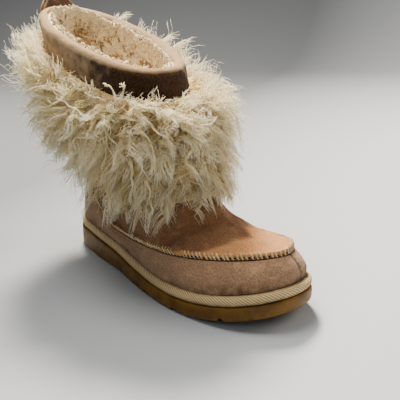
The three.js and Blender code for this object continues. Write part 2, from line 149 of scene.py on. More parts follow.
@dataclass(frozen=True)
class Last:
    """The boot's own form, from the same named sizes as the solids that it stands on."""

    sole_length: float = 268
    heel_back: float = 36
    toe_radius: float = 43
    heel_radius: float = 27
    inward_bend: float = 6
    forefoot_thickness: float = 11.3
    heel_thickness: float = 19.6
    wedge_end: float = 191
    heel_seat: float = 30
    toe_spring: float = 14
    spring_start: float = 182
    arch_start: float = 70
    arch_end: float = 150
    arch_lift: float = 1.2
    midsole_height: float = 8.2
    gap: float = 0.3
    wall: float = 3
    inward_slant: float = 0.04
    shaft_fullness: float = 0.86
    wool_base: tuple = (10.5, 9.2, 9.6)
    wool_top: float = 14.25

    # along, then lateral and medial half widths of the outsole
    footprint: tuple = (
        (0.05, 30.1, 31.4),
        (0.1, 39.6, 39.6),
        (0.2, 48.8, 46.2),
        (0.33, 52.0, 46.5),
        (0.5, 47.5, 39.0),
        (0.65, 41.5, 34.0),
        (0.8, 37.6, 34.0),
        (0.9, 32.4, 31.0),
    )
    ball_row: int = 3

    # one row for each level: reach ahead, reach behind, five heights, half widths and shape of the plan
    columns: tuple = (
        "front", "back", "toe", "ball", "waist", "quarter", "heel",
        "lateral", "medial", "foot", "lean", "point",
    )
    sections: tuple = (
        (262.6, 3.6, 32.6, 20.3, 25.4, 27.8, 28.2, 48.4, 43.4, 1, 0, 1),
        (262.6, 4.6, 38.3, 26.2, 27.6, 34.8, 43, 49.2, 44.2, 1, 0, 1.03),
        (260.6, 7, 44, 32.2, 29.7, 41.4, 57.5, 48.8, 43.6, 1, 0, 1.1),
        (256.6, 9.4, 49.6, 37.8, 31.8, 48.2, 72.8, 47, 41.8, 1, 0, 1.2),
        (254.8, 9.8, 51.6, 40, 33.1, 50.6, 77, 46, 40.8, 1, 0, 1.25),
        (252.6, 10, 54, 42.8, 35.8, 53.4, 79.5, 44.8, 39.6, 1, 0, 1.3),
        (249.6, 10.2, 55.4, 45, 38.4, 56.4, 82.5, 43.4, 38.2, 0.98, 0, 1.4),
        (239, 10.4, 57.5, 48.5, 46, 64, 88, 41, 35.5, 0.92, -0.5, 1.7),
        (225, 10.6, 59.4, 54, 56, 74, 94.5, 38.5, 33, 0.8, -2, 2),
        (210, 10.6, 62.8, 61.5, 69, 84.5, 103, 37, 32.5, 0.62, -4, 2),
        (193, 10.4, 72.5, 75.5, 86, 98, 112, 37, 33.5, 0.4, -6, 1.7),
        (178, 9.6, 90, 94.5, 104, 112, 123, 37.5, 35.5, 0.2, -9, 1.3),
        (165, 8.6, 112, 116, 123, 129, 136, 38, 37, 0.08, -13, 1),
        (157, 7, 133, 141, 151, 156, 161, 39, 38.5, 0, -18, 0.84),
        (156, 4.4, 147, 159.9, 175.4, 182.3, 190, 40.2, 40, 0, -22.4, 0.76),
        (155.5, 2.6, 174.5, 187.4, 202.9, 209.8, 217.5, 40.6, 40.6, 0, -26.6, 0.74),
    )
    landmarks: tuple = (0, 0.3, 0.66, 0.82, 1)

    @property
    def collar(self) -> int:
        """Level of the collar's edge."""
        return len(self.sections) - 1

    def column(self, name: str, level: np.ndarray) -> np.ndarray:
        """One column of the section table at levels between its rows."""
        values = [row[self.columns.index(name)] for row in self.sections]
        return smooth_curve(level, list(range(len(values))), np.array(values))

    def along(self, angle: np.ndarray) -> np.ndarray:
        """Share of the way from the toe to the heel at an angle."""
        return (1 - np.cos(angle)) / 2

    def ahead(self, y: np.ndarray) -> np.ndarray:
        """Distance ahead of the heel's back edge."""
        return self.heel_back - y

    def spring(self, y: np.ndarray) -> np.ndarray:
        """Lift of the toe."""
        share = (self.ahead(y) - self.spring_start) / (self.sole_length - self.spring_start)
        return self.toe_spring * np.maximum(share, 0) ** 2

    def underside(self, y: np.ndarray) -> np.ndarray:
        """Height of the sole's underside."""
        arch = np.clip((self.ahead(y) - self.arch_start) / (self.arch_end - self.arch_start), 0, 1)
        return self.spring(y) + self.arch_lift * np.sin(np.pi * arch) ** 2

    def outsole_top(self, y: np.ndarray) -> np.ndarray:
        """Height of the outsole's top face.

        Args:
            y: Places from toe to heel.

        Returns:
            Heights in millimetres.
        """
        wedge = smooth_step((self.wedge_end - self.ahead(y)) / (self.wedge_end - self.heel_seat))
        extra = self.heel_thickness - self.forefoot_thickness
        return self.spring(y) + self.forefoot_thickness + extra * wedge

    def midsole_top(self, y: np.ndarray) -> np.ndarray:
        """Height of the midsole's top face."""
        return self.outsole_top(y) + self.midsole_height

    def amplitude(self, angle: np.ndarray) -> np.ndarray:
        """Breadth of the footprint's plan as a sine wave's amplitude.

        Args:
            angle: From the toe along the outer side to the heel and back.

        Returns:
            Half widths in millimetres, were the plan an ellipse.
        """
        stations = [0, *[row[0] for row in self.footprint], 1]
        ends = [math.sqrt(radius * self.sole_length / 2) for radius in (self.toe_radius, self.heel_radius)]
        along = self.along(angle)
        sides = []
        for side in (1, 2):
            inner = [row[side] / (2 * math.sqrt(row[0] * (1 - row[0]))) for row in self.footprint]
            sides.append(smooth_curve(along, stations, np.array([ends[0], *inner, ends[1]])))
        return np.where(np.sin(angle) > 0, sides[0], sides[1])

    def outline(self, angle: np.ndarray, inset: np.ndarray) -> tuple[np.ndarray, np.ndarray]:
        """Plan of the outsole, moved in by the inset, as x and y.

        Args:
            angle: From the toe along the outer side to the heel and back.
            inset: Distance in from the edge.

        Returns:
            Places across and along in millimetres.
        """
        along = self.along(angle)
        x = -(self.amplitude(angle) - inset) * np.sin(angle) + self.inward_bend * (1 - along) ** 2
        y = self.heel_back - inset - (self.sole_length - 2 * inset) * (1 - along)
        return x, y

    def form(self, angle: np.ndarray, level: np.ndarray) -> np.ndarray:
        """Points of the upper's smooth outer form.

        Args:
            angle: From the toe (0) along the outer side to the heel (pi) and back.
            level: Row of the section table, or a place between rows.

        Returns:
            Points in millimetres.
        """
        angle, level = np.broadcast_arrays(np.asarray(angle, float), np.asarray(level, float))
        along = self.along(angle)
        outer = np.sin(angle) > 0
        foot = self.column("foot", level)
        half = np.where(outer, self.column("lateral", level), self.column("medial", level))
        ball = np.where(outer, self.footprint[self.ball_row][1], self.footprint[self.ball_row][2])
        amplitude = half + foot * (self.amplitude(angle) - ball)
        back_end = self.shaft_fullness + (1 - self.shaft_fullness) * foot
        end = np.where(along < 0.5, self.column("point", level), back_end)
        swing = np.sign(np.sin(angle)) * np.abs(np.sin(angle)) ** end
        centre = foot * self.inward_bend * (1 - along) ** 2 + self.column("lean", level)
        x = centre - amplitude * swing
        back = self.column("back", level)
        y = self.heel_back - back - (self.column("front", level) - back) * (1 - along)
        names = ("toe", "ball", "waist", "quarter", "heel")
        heights = np.stack([self.column(name, level) for name in names], axis=-1)
        slanted = smooth_curve(along, list(self.landmarks), heights) - foot * self.inward_slant * x
        seat = np.maximum(1 - level, 0)
        z = slanted + (self.midsole_top(y) + self.gap - slanted) * seat
        return np.stack([x, y, z], axis=-1)

    def normal(self, angle: np.ndarray, level: np.ndarray) -> np.ndarray:
        """Outward directions of the form, level where the upper meets the sole.

        Args:
            angle: Angles of the points.
            level: Levels of the points.

        Returns:
            Directions of length one.
        """
        step = 0.01
        angle, level = np.broadcast_arrays(np.asarray(angle, float), np.asarray(level, float))
        around = self.form(angle + step, level) - self.form(angle - step, level)
        low, high = np.maximum(level - step, 0), np.minimum(level + step, self.collar)
        direction = unit(np.cross(self.form(angle, high) - self.form(angle, low), around))
        direction[..., 2] *= np.minimum(level, 1)
        return unit(direction)

    def wall_point(self, angle: np.ndarray, level: np.ndarray, out: np.ndarray) -> np.ndarray:
        """Points at a distance out of the form.

        Args:
            angle: Angles of the points.
            level: Levels of the points.
            out: Distance out of the form, negative inside it.

        Returns:
            Points in millimetres, those of level 0 seated on the midsole.
        """
        angle, level, out = np.broadcast_arrays(angle, level, out)
        points = self.form(angle, level) + self.normal(angle, level) * out[..., None]
        seated = self.midsole_top(points[..., 1]) + self.gap
        points[..., 2] = np.where(level == 0, seated, points[..., 2])
        return points

    def collar_point(self, angle: np.ndarray, up: np.ndarray, out: np.ndarray) -> np.ndarray:
        """Points near the collar, measured along the shaft from its edge.

        Args:
            angle: Angles of the points.
            up: Height above the collar's edge.
            out: Distance out of the wall.

        Returns:
            Points in millimetres.
        """
        angle, up, out = np.broadcast_arrays(*(np.asarray(v, float) for v in (angle, up, out)))
        top, below = (self.form(angle, np.full_like(angle, self.collar - down)) for down in (0, 1))
        rise = top - below
        length = np.linalg.norm(rise, axis=-1)
        level = self.collar + np.minimum(up, 0) / length
        return self.wall_point(angle, level, out) + unit(rise) * np.maximum(up, 0)[..., None]

    def wool_level(self, angle: np.ndarray, share: np.ndarray) -> np.ndarray:
        """Level of the upper at a share of the wool's height."""
        base = smooth_curve(self.along(angle), [0, 0.5, 1], np.array(self.wool_base))
        return base + (self.wool_top - base) * share


LAST = Last()


def turns(count: int) -> np.ndarray:
    """Angles of a closed ring, with the first again at the end."""
    return np.linspace(0, FULL_TURN, count + 1)


MIX = "ShaderNodeMixRGB"
MATH = "ShaderNodeMath"
RANGE = "ShaderNodeMapRange"
ATTRIBUTE = "ShaderNodeAttribute"


class Coordinates(Enum):
    """What a pattern follows."""

    OBJECT = "Object"
    UV = "UV"


@dataclass(frozen=True)
class Patches:
    """A cloudy pattern: size in millimetres, detail, the range read from it and the range given."""

    size: float
    detail: float
    reads: tuple[float, float]
    gives: tuple[float, float] = (0, 1)
    stretch: tuple[float, float, float] = (1, 1, 1)


@dataclass(frozen=True)
class Grain:
    """A relief: size of one grain in millimetres, detail, and depth in millimetres."""

    size: float
    detail: float
    depth: float


class Surface:
    """A material being put together."""

    def __init__(self, name: str) -> None:
        """Starts an empty material.

        Args:
            name: Its name.
        """
        self.material = bpy.data.materials.new(name)
        self.material.use_nodes = True
        self.material.node_tree.nodes.clear()
        self.place = self.add("ShaderNodeTexCoord", output=Coordinates.OBJECT.value)

    def add(
        self, kind: str, inputs: dict | None = None, output: int | str = 0, **settings
    ) -> bpy.types.NodeSocket | None:
        """Adds a node with its settings and links.

        Args:
            kind: The node's type name.
            inputs: Socket name or number to a value or to another node's output.
            output: Name or number of the wanted output.
            settings: The node's own properties.

        Returns:
            The wanted output, or None for a node that has no outputs.
        """
        tree = self.material.node_tree
        node = tree.nodes.new(kind)
        for name, value in settings.items():
            setattr(node, name, value)
        for name, value in (inputs or {}).items():
            if isinstance(value, bpy.types.NodeSocket):
                tree.links.new(value, node.inputs[name])
            else:
                node.inputs[name].default_value = value
        return node.outputs[output] if node.outputs else None

    def patches(self, look: Patches) -> bpy.types.NodeSocket:
        """Lays a cloudy pattern over the piece.

        Args:
            look: The pattern.

        Returns:
            Its values, held inside the range that it gives.
        """
        place = self.add("ShaderNodeMapping", {"Vector": self.place, "Scale": look.stretch})
        scale = 1 / (look.size * MM)
        pattern = {"Vector": place, "Scale": scale, "Detail": look.detail}
        cloud = self.add("ShaderNodeTexNoise", pattern, "Fac")
        ends = dict(zip((1, 2, 3, 4), (*look.reads, *look.gives)))
        return self.add(RANGE, {0: cloud, **ends})

    def relief(self, *grains: Grain) -> bpy.types.NodeSocket:
        """Lays grains over each other, the coarsest first.

        Args:
            grains: The reliefs.

        Returns:
            The surface's direction with all of them on it.
        """
        under = {}
        for grain in grains:
            scale = 1 / (grain.size * MM)
            inputs = {"Vector": self.place, "Scale": scale, "Detail": grain.detail}
            height = self.add("ShaderNodeTexNoise", inputs, "Fac")
            inputs = {"Height": height, "Distance": grain.depth * MM, "Strength": 1.0, **under}
            under = {"Normal": self.add("ShaderNodeBump", inputs)}
        return under["Normal"]

    def finish(self, sockets: dict) -> bpy.types.Material:
        """Closes the material with its shader.

        Args:
            sockets: The shader's sockets by name.

        Returns:
            The material.
        """
        shader = self.add("ShaderNodeBsdfPrincipled", sockets)
        self.add("ShaderNodeOutputMaterial", {"Surface": shader})
        return self.material


@dataclass(frozen=True)
class BrushedSuede:
    """Sheepskin suede, brushed: a matt nap of short fibres that shades where it was stroked, its instep
    painted darker as the shade under the wool.
    """

    name: str = "brushed_suede"
    toe: str = "BE8450"
    # painted shade: the instep colour is the suede darkened where the wool shades it
    instep: str = "7C5638"
    side: str = "96755A"
    worn: str = "C79F78"
    soil: str = "54402A"
    stitch_shadow: str = "1E130B"
    clouds: Patches = Patches(26, 3, (0.35, 0.7), (0, 0.22))
    marks: Patches = Patches(12, 5, (0.55, 0.72), (0, 0.6), (1, 1, 2.4))
    dirt: Patches = Patches(7, 3, (0.4, 0.62), (0.35, 1))

    # real nap is finer than this, which is as coarse as it needs to be to show
    nap: Patches = Patches(1.2, 4, (0.34, 0.66), (0.7, 1.24))
    grains: tuple[Grain, ...] = (Grain(5, 2, 0.6), Grain(1.2, 4, 0.6))

    def material(self) -> bpy.types.Material:
        """Makes the suede of the upper, which reads its panel, rub, soil and seam shade attributes; the seam
        shade and the darker instep are painted shade.

        Returns:
            The material.
        """
        s = Surface(self.name)
        names = ("toe_side", "vamp", "rub", "soil", "seam_shade")
        toe_side, vamp, rub, soil, seam_shade = (s.add(ATTRIBUTE, output="Fac", attribute_name=n) for n in names)
        rubbed = s.add(MATH, {0: s.patches(self.marks), 1: rub}, operation="MULTIPLY")
        soiled = s.add(MATH, {0: soil, 1: s.patches(self.dirt)}, operation="MULTIPLY")
        fleck = s.patches(self.nap)
        grey = s.add("ShaderNodeCombineColor", {0: fleck, 1: fleck, 2: fleck})
        # above the flex crease the instep colour paints the shade under the wool
        stroked = s.add(MIX, {"Fac": toe_side, "Color1": colour(self.instep), "Color2": colour(self.toe)})
        paint = s.add(MIX, {"Fac": vamp, "Color1": colour(self.side), "Color2": stroked})
        for share in (s.patches(self.clouds), rubbed):
            paint = s.add(MIX, {"Fac": share, "Color1": paint, "Color2": colour(self.worn)})
        paint = s.add(MIX, {"Fac": 1.0, "Color1": paint, "Color2": grey}, blend_type="MULTIPLY")
        # soil darkens the lower wall; the seam shade paints shadow into the raised seam's groove and along
        # the flat seams
        for share, over in ((soiled, self.soil), (seam_shade, self.stitch_shadow)):
            paint = s.add(MIX, {"Fac": share, "Color1": paint, "Color2": colour(over)})
        sockets = {"Base Color": paint, "Roughness": 0.95, "Normal": s.relief(*self.grains)}
        return s.finish({**sockets, "Sheen Weight": 0.1, "Sheen Roughness": 0.6, "Specular IOR Level": 0.15})


@dataclass(frozen=True)
class CuffNap:
    """The same hide with its nap stroked against the lie, so that it looks darker."""

    name: str = "stroked_suede"
    dark: str = "150B06"
    fleck: str = "3E2816"
    hide: str = "B29878"
    edge: str = "AE8654"
    strokes: Patches = Patches(7, 5, (0.3, 0.7), (-0.16, 0.16))
    stroked_range: tuple[float, float] = (0.1, 0.75)
    rubbed: Patches = Patches(2.8, 3, (0.3, 0.6), (0.6, 1))

    # real nap is finer than this, which is as coarse as it needs to be to show
    nap: Patches = Patches(1.4, 5, (0.36, 0.64))
    grains: tuple[Grain, ...] = (Grain(6, 2, 0.6), Grain(1.4, 4, 0.5))

    def material(self) -> bpy.types.Material:
        """Makes the dark stroked nap and the lighter rolled edge above it.

        Returns:
            The material.
        """
        s = Surface(self.name)
        dark, edge = (s.add(ATTRIBUTE, output="Fac", attribute_name=name) for name in ("dark", "edge"))
        nap = s.patches(self.nap)
        stroked = s.add(MIX, {"Fac": nap, "Color1": colour(self.dark), "Color2": colour(self.fleck)})
        stroke = s.add(MATH, {0: dark, 1: s.patches(self.strokes)}, operation="ADD")
        share = s.add(RANGE, {0: stroke, 1: self.stroked_range[0], 2: self.stroked_range[1]})
        hide = s.add(MIX, {"Fac": share, "Color1": colour(self.hide), "Color2": stroked})
        light = s.add(MATH, {0: edge, 1: s.patches(self.rubbed)}, operation="MULTIPLY")
        paint = s.add(MIX, {"Fac": light, "Color1": hide, "Color2": colour(self.edge)})
        sockets = {"Base Color": paint, "Roughness": 0.95, "Normal": s.relief(*self.grains)}
        return s.finish({**sockets, "Sheen Weight": 0.12, "Sheen Roughness": 0.6, "Specular IOR Level": 0.1})


@dataclass(frozen=True)
class GumRubber:
    """Moulded gum rubber: honey brown, satin, rubbed matt and dusty along its lower edge."""

    name: str = "moulded_gum_rubber"
    honey: str = "73500F"
    deep: str = "56390A"
    dust: str = "785A28"
    body: Patches = Patches(16, 3, (0.35, 0.65))
    wear: Patches = Patches(3, 4, (0.45, 0.65))
    roughness: Patches = Patches(5, 3, (0.3, 0.7), (0.42, 0.62))
    grains: tuple[Grain, ...] = (Grain(7, 2, 0.15), Grain(0.8, 3, 0.05))

    def material(self) -> bpy.types.Material:
        """Makes the outsole's rubber, which reads its scuff attribute.

        Returns:
            The material.
        """
        s = Surface(self.name)
        scuff = s.add(ATTRIBUTE, output="Fac", attribute_name="scuff")
        body = s.patches(self.body)
        paint = s.add(MIX, {"Fac": body, "Color1": colour(self.deep), "Color2": colour(self.honey)})
        wear = s.add(MATH, {0: scuff, 1: s.patches(self.wear)}, operation="MULTIPLY")
        paint = s.add(MIX, {"Fac": wear, "Color1": paint, "Color2": colour(self.dust)})
        sockets = {"Base Color": paint, "Roughness": s.patches(self.roughness)}
        return s.finish({**sockets, "Normal": s.relief(*self.grains), "Specular IOR Level": 0.25})


@dataclass(frozen=True)
class TwillTape:
    """Cotton twill tape folded over the rim: slanted ribs, matt, grubby along its lower edge."""

    name: str = "twill_tape"
    thread: str = "E2C898"
    valley: str = "A1855A"
    grime: str = "6B5738"
    slant: float = 52
    rib_depth: float = 0.35
    rib_range: tuple[float, float] = (0.1, 0.8)
    dirt: Patches = Patches(6, 3, (0.3, 0.6), (0.4, 1))
    yarn: Grain = Grain(0.6, 2, 0.1)

    # distance between ribs, as coarse as they need to be to show
    rib: float = 1.7

    # one wave of the wave texture is 1/20 of a full turn wide at scale 1
    waves_per_turn: int = 20

    def material(self) -> bpy.types.Material:
        """Makes the wrap's tape, with its ribs on the piece's own measured UV map.

        Returns:
            The material.
        """
        s = Surface(self.name)
        flat = s.add("ShaderNodeTexCoord", output=Coordinates.UV.value)
        turned = s.add("ShaderNodeMapping", {"Vector": flat, "Rotation": (0, 0, math.radians(self.slant))})
        scale = 1 / (self.rib * MM) / (self.waves_per_turn / FULL_TURN)
        wave = {"Vector": turned, "Scale": scale, "Distortion": 0.6, "Detail": 1.0}
        ribs = s.add("ShaderNodeTexWave", wave, "Fac")
        share = s.add(RANGE, {0: ribs, 1: self.rib_range[0], 2: self.rib_range[1]})
        cloth = s.add(MIX, {"Fac": share, "Color1": colour(self.valley), "Color2": colour(self.thread)})
        soil = s.add(ATTRIBUTE, output="Fac", attribute_name="soil")
        dirt = s.add(MATH, {0: soil, 1: s.patches(self.dirt)}, operation="MULTIPLY")
        paint = s.add(MIX, {"Fac": dirt, "Color1": cloth, "Color2": colour(self.grime)})
        yarn = s.relief(self.yarn)
        bump = {"Height": ribs, "Distance": self.rib_depth * MM, "Strength": 1.0, "Normal": yarn}
        sockets = {"Base Color": paint, "Roughness": 0.9, "Normal": s.add("ShaderNodeBump", bump)}
        return s.finish({**sockets, "Sheen Weight": 0.1, "Specular IOR Level": 0.2})


@dataclass(frozen=True)
class Wool:
    """Long sheep's wool: cream at the lit ends of its locks and tan to orange-brown at their roots, the
    darker roots partly the wool's own tan and partly painted shade deep in the fleece.
    """

    name: str = "long_wool"
    root: str = "C89654"
    middle: str = "FFE09A"
    tip: str = "FFEFB8"
    root_range: tuple[float, float] = (0.0, 0.55)
    tip_range: tuple[float, float] = (0.4, 1.0)

    # light goes this far into a lock, red furthest
    glow_depth: float = 3
    glow: tuple[float, float, float] = (1.0, 0.7, 0.4)

    def material(self) -> bpy.types.Material:
        """Makes fibres that read how far along they are and how light their lock is, a tone that is partly
        random and partly painted shade and highlight.

        Returns:
            The material.
        """
        s = Surface(self.name)
        along, tone = (s.add(ATTRIBUTE, output="Fac", attribute_name=name) for name in ("along", "tone"))
        lower = s.add(RANGE, {0: along, 1: self.root_range[0], 2: self.root_range[1]})
        upper = s.add(RANGE, {0: along, 1: self.tip_range[0], 2: self.tip_range[1]})
        # the darker root colour is partly the wool's own tan and partly painted shade deep in the fleece
        paint = s.add(MIX, {"Fac": lower, "Color1": colour(self.root), "Color2": colour(self.middle)})
        paint = s.add(MIX, {"Fac": upper, "Color1": paint, "Color2": colour(self.tip)})
        grey = s.add("ShaderNodeCombineColor", {0: tone, 1: tone, 2: tone})
        paint = s.add(MIX, {"Fac": 1.0, "Color1": paint, "Color2": grey}, blend_type="MULTIPLY")
        sockets = {"Base Color": paint, "Roughness": 0.6, "Specular IOR Level": 0.2}
        sheen = {"Sheen Weight": 0.08, "Sheen Roughness": 0.5}
        scale = self.glow_depth * MM
        glow = {"Subsurface Weight": 0.7, "Subsurface Radius": self.glow, "Subsurface Scale": scale}
        return s.finish({**sockets, **sheen, **glow})


@dataclass(frozen=True)
class Shearling:
    """Clipped fleece with tight curls: cream on top, warm brown in its hollows, that brown being painted
    shade.
    """

    name: str = "shearling"
    hollow: str = "A0703A"
    crown: str = "FFEFCB"
    fleck: Patches = Patches(2.2, 4, (0.3, 0.7), (-0.25, 0.25))
    crown_range: tuple[float, float] = (-0.1, 0.62)
    curl: Grain = Grain(1.6, 4, 0.8)

    def material(self) -> bpy.types.Material:
        """Makes fleece that reads how high each place lies.

        Returns:
            The material.
        """
        s = Surface(self.name)
        crown = s.add(ATTRIBUTE, output="Fac", attribute_name="crown")
        height = s.add(MATH, {0: crown, 1: s.patches(self.fleck)}, operation="ADD")
        share = s.add(RANGE, {0: height, 1: self.crown_range[0], 2: self.crown_range[1]})
        # painted shade: the low places of the pile turn warm brown
        paint = s.add(MIX, {"Fac": share, "Color1": colour(self.hollow), "Color2": colour(self.crown)})
        sockets = {"Base Color": paint, "Roughness": 0.9, "Normal": s.relief(self.curl)}
        return s.finish({**sockets, "Sheen Weight": 0.3, "Sheen Roughness": 0.5, "Specular IOR Level": 0.2})


@dataclass(frozen=True)
class StrapLeather:
    """Brown strap leather, waxed, dark on its face with lighter cut edges; the dark face is partly the
    leather's brown and partly painted shade.
    """

    name: str = "strap_leather"
    # partly painted shade: the face is darker than the leather shows at its cut edges
    face: str = "3E2A1D"
    worn: str = "6A4A33"
    cut: str = "A98463"
    rubbed: Patches = Patches(8, 3, (0.4, 0.65))
    pores: Grain = Grain(1.0, 4, 0.12)

    def material(self) -> bpy.types.Material:
        """Makes the pull tab's leather, which reads its edge attribute.

        Returns:
            The material.
        """
        s = Surface(self.name)
        edge = s.add(ATTRIBUTE, output="Fac", attribute_name="edge")
        rubbed = s.patches(self.rubbed)
        paint = s.add(MIX, {"Fac": rubbed, "Color1": colour(self.face), "Color2": colour(self.worn)})
        paint = s.add(MIX, {"Fac": edge, "Color1": paint, "Color2": colour(self.cut)})
        sockets = {"Base Color": paint, "Roughness": 0.6, "Normal": s.relief(self.pores)}
        return s.finish({**sockets, "Coat Weight": 0.05})


@dataclass(frozen=True)
class WaxedThread:
    """Waxed linen thread, laid over the seam in slanting stitches."""

    name: str = "waxed_thread"
    light: str = "E6CCA2"
    dark: str = "B08C60"
    strands: Patches = Patches(4, 3, (0.35, 0.65))
    twist: Grain = Grain(0.5, 2, 0.1)

    def material(self) -> bpy.types.Material:
        """Makes the seams' thread.

        Returns:
            The material.
        """
        s = Surface(self.name)
        strands = s.patches(self.strands)
        paint = s.add(MIX, {"Fac": strands, "Color1": colour(self.dark), "Color2": colour(self.light)})
        sockets = {"Base Color": paint, "Roughness": 0.7, "Normal": s.relief(self.twist)}
        return s.finish({**sockets, "Specular IOR Level": 0.3})


def dress(piece: bpy.types.Object, material: bpy.types.Material) -> bpy.types.Object:
    """Gives a piece its material and the body that it rides on.

    Args:
        piece: The mesh object.
        material: Its finish.

    Returns:
        The same object.
    """
    piece.data.materials.clear()
    piece.data.materials.append(material)
    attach(piece, BODY)
    return piece


def edit(piece: bpy.types.Object, *steps: tuple) -> None:
    """Runs edit-mode operators on all of a piece.

    Args:
        piece: The mesh object.
        steps: Pairs of an operator and its settings.
    """
    bpy.ops.object.select_all(action="DESELECT")
    bpy.context.view_layer.objects.active = piece
    piece.select_set(True)
    bpy.ops.object.mode_set(mode="EDIT")
    bpy.ops.mesh.select_all(action="SELECT")
    for operator, settings in steps:
        operator(**settings)
    bpy.ops.object.mode_set(mode="OBJECT")
    piece.select_set(False)


def shade(piece: bpy.types.Object, degrees: float) -> None:
    """Smooths a piece's faces apart from edges sharper than the angle.

    Args:
        piece: The mesh object.
        degrees: Angle past which an edge stays sharp.
    """
    bpy.ops.object.select_all(action="DESELECT")
    bpy.context.view_layer.objects.active = piece
    piece.select_set(True)
    bpy.ops.object.shade_smooth_by_angle(angle=math.radians(degrees))
    piece.select_set(False)


WELD = 0.02 * MM
SLIVER = 0.001 * MM


def wrap(name: str, points: np.ndarray, values: dict | None = None, smooth: float = 60) -> bpy.types.Object:
    """Lays a grid over rings of points and welds it where it meets itself.

    Args:
        name: The piece's name.
        points: Rings in millimetres, shape (rings, points in a ring, 3).
        values: Attribute name to one value for each point.
        smooth: Angle in degrees past which an edge stays sharp.

    Returns:
        The mesh object, its UV map measured in metres along and across the rings.
    """
    rings, around = points.shape[:2]
    bpy.ops.mesh.primitive_grid_add(x_subdivisions=around - 1, y_subdivisions=rings - 1, size=1)
    piece = bpy.context.object
    piece.name = piece.data.name = name
    mesh = piece.data
    mesh.vertices.foreach_set("co", (points * MM).astype(np.float32).ravel())
    for label, value in (values or {}).items():
        layer = mesh.attributes.new(label, "FLOAT", "POINT")
        layer.data.foreach_set("value", np.broadcast_to(value, points.shape[:2]).astype(np.float32).ravel())
    steps_u = np.linalg.norm(np.diff(points, axis=1), axis=-1).max(axis=0)
    steps_v = np.linalg.norm(np.diff(points, axis=0), axis=-1).mean(axis=1)
    u = np.concatenate([[0], np.cumsum(steps_u)]) * MM
    v = np.concatenate([[0], np.cumsum(steps_v)]) * MM
    places = np.stack(np.meshgrid(u, v), axis=-1).reshape(-1, 2)
    corners = np.zeros(len(mesh.loops), np.int32)
    mesh.loops.foreach_get("vertex_index", corners)
    mesh.uv_layers[0].data.foreach_set("uv", places[corners].astype(np.float32).ravel())
    mesh.update()
    edit(
        piece,
        (bpy.ops.mesh.remove_doubles, {"threshold": WELD}),
        (bpy.ops.mesh.dissolve_degenerate, {"threshold": SLIVER}),
        (bpy.ops.mesh.normals_make_consistent, {"inside": False}),
    )
    shade(piece, smooth)
    return piece


def closed_stack(rings: np.ndarray, caps: int = 6) -> np.ndarray:
    """Closes a stack of rings over its two ends with rings that shrink to its middle line.

    Args:
        rings: Shape (rings, points in a ring, 3), each ring symmetric from toe to heel.
        caps: Steps from the outline to the middle line.

    Returns:
        The longer stack.
    """

    def cap(ring: np.ndarray) -> list[np.ndarray]:
        """Rings from the middle line out to this one."""
        spine = (ring + ring[::-1]) / 2
        return [spine + (ring - spine) * step / caps for step in range(caps)]

    return np.array([*cap(rings[0]), *rings, *cap(rings[-1])[::-1]])


def fibres(
    name: str,
    paths: np.ndarray,
    radius: np.ndarray,
    values: dict,
    sides: int = 3,
    taper: float = 0.75,
) -> bpy.types.Object:
    """Joins many thin tapered tubes in one mesh.

    Args:
        name: The piece's name.
        paths: Middle lines in millimetres, shape (fibres, points, 3).
        radius: One radius for each fibre in millimetres.
        values: Attribute name to values of shape (fibres, points).
        sides: Faces round a tube.
        taper: Share of its radius that a tube loses by its tip.

    Returns:
        The mesh object.
    """
    count, steps = paths.shape[:2]
    heading = unit(np.gradient(paths, axis=1))
    hint = unit(np.random.default_rng(count).normal(size=(count, 1, 3)))
    across = unit(np.cross(heading, hint))
    over = np.cross(heading, across)
    along = np.linspace(0, 1, steps)
    size = radius[:, None] * (1 - taper * along)
    corner = np.linspace(0, FULL_TURN, sides, endpoint=False)
    ring = np.cos(corner)[:, None] * across[:, :, None] + np.sin(corner)[:, None] * over[:, :, None]
    vertices = (paths[:, :, None] + ring * size[:, :, None, None]) * MM
    first = (np.arange(count)[:, None, None] * steps + np.arange(steps - 1)[None, :, None]) * sides
    side = np.arange(sides)
    after = (side + 1) % sides
    quads = np.stack([first + side, first + after, first + sides + after, first + sides + side], axis=-1)
    quads = quads.reshape(-1, 4)
    starts = np.arange(count)[:, None] * steps * sides
    root_caps = starts + side[::-1]
    tip_caps = starts + (steps - 1) * sides + side
    caps = np.concatenate([root_caps, tip_caps])
    mesh = bpy.data.meshes.new(name)
    mesh.vertices.add(count * steps * sides)
    mesh.vertices.foreach_set("co", vertices.astype(np.float32).ravel())
    mesh.loops.add(quads.size + caps.size)
    mesh.loops.foreach_set("vertex_index", np.concatenate([quads.ravel(), caps.ravel()]).astype(np.int32))
    sizes = np.concatenate([np.full(len(quads), 4), np.full(len(caps), sides)])
    mesh.polygons.add(len(sizes))
    mesh.polygons.foreach_set("loop_start", np.concatenate([[0], np.cumsum(sizes)[:-1]]).astype(np.int32))
    mesh.polygons.foreach_set("use_smooth", np.ones(len(sizes), bool))
    for label, value in values.items():
        layer = mesh.attributes.new(label, "FLOAT", "POINT")
        spread = np.broadcast_to(np.asarray(value)[..., None], (count, steps, sides))
        layer.data.foreach_set("value", spread.astype(np.float32).ravel())
    mesh.update(calc_edges=True)
    piece = bpy.data.objects.new(name, mesh)
    bpy.context.scene.collection.objects.link(piece)
    return piece


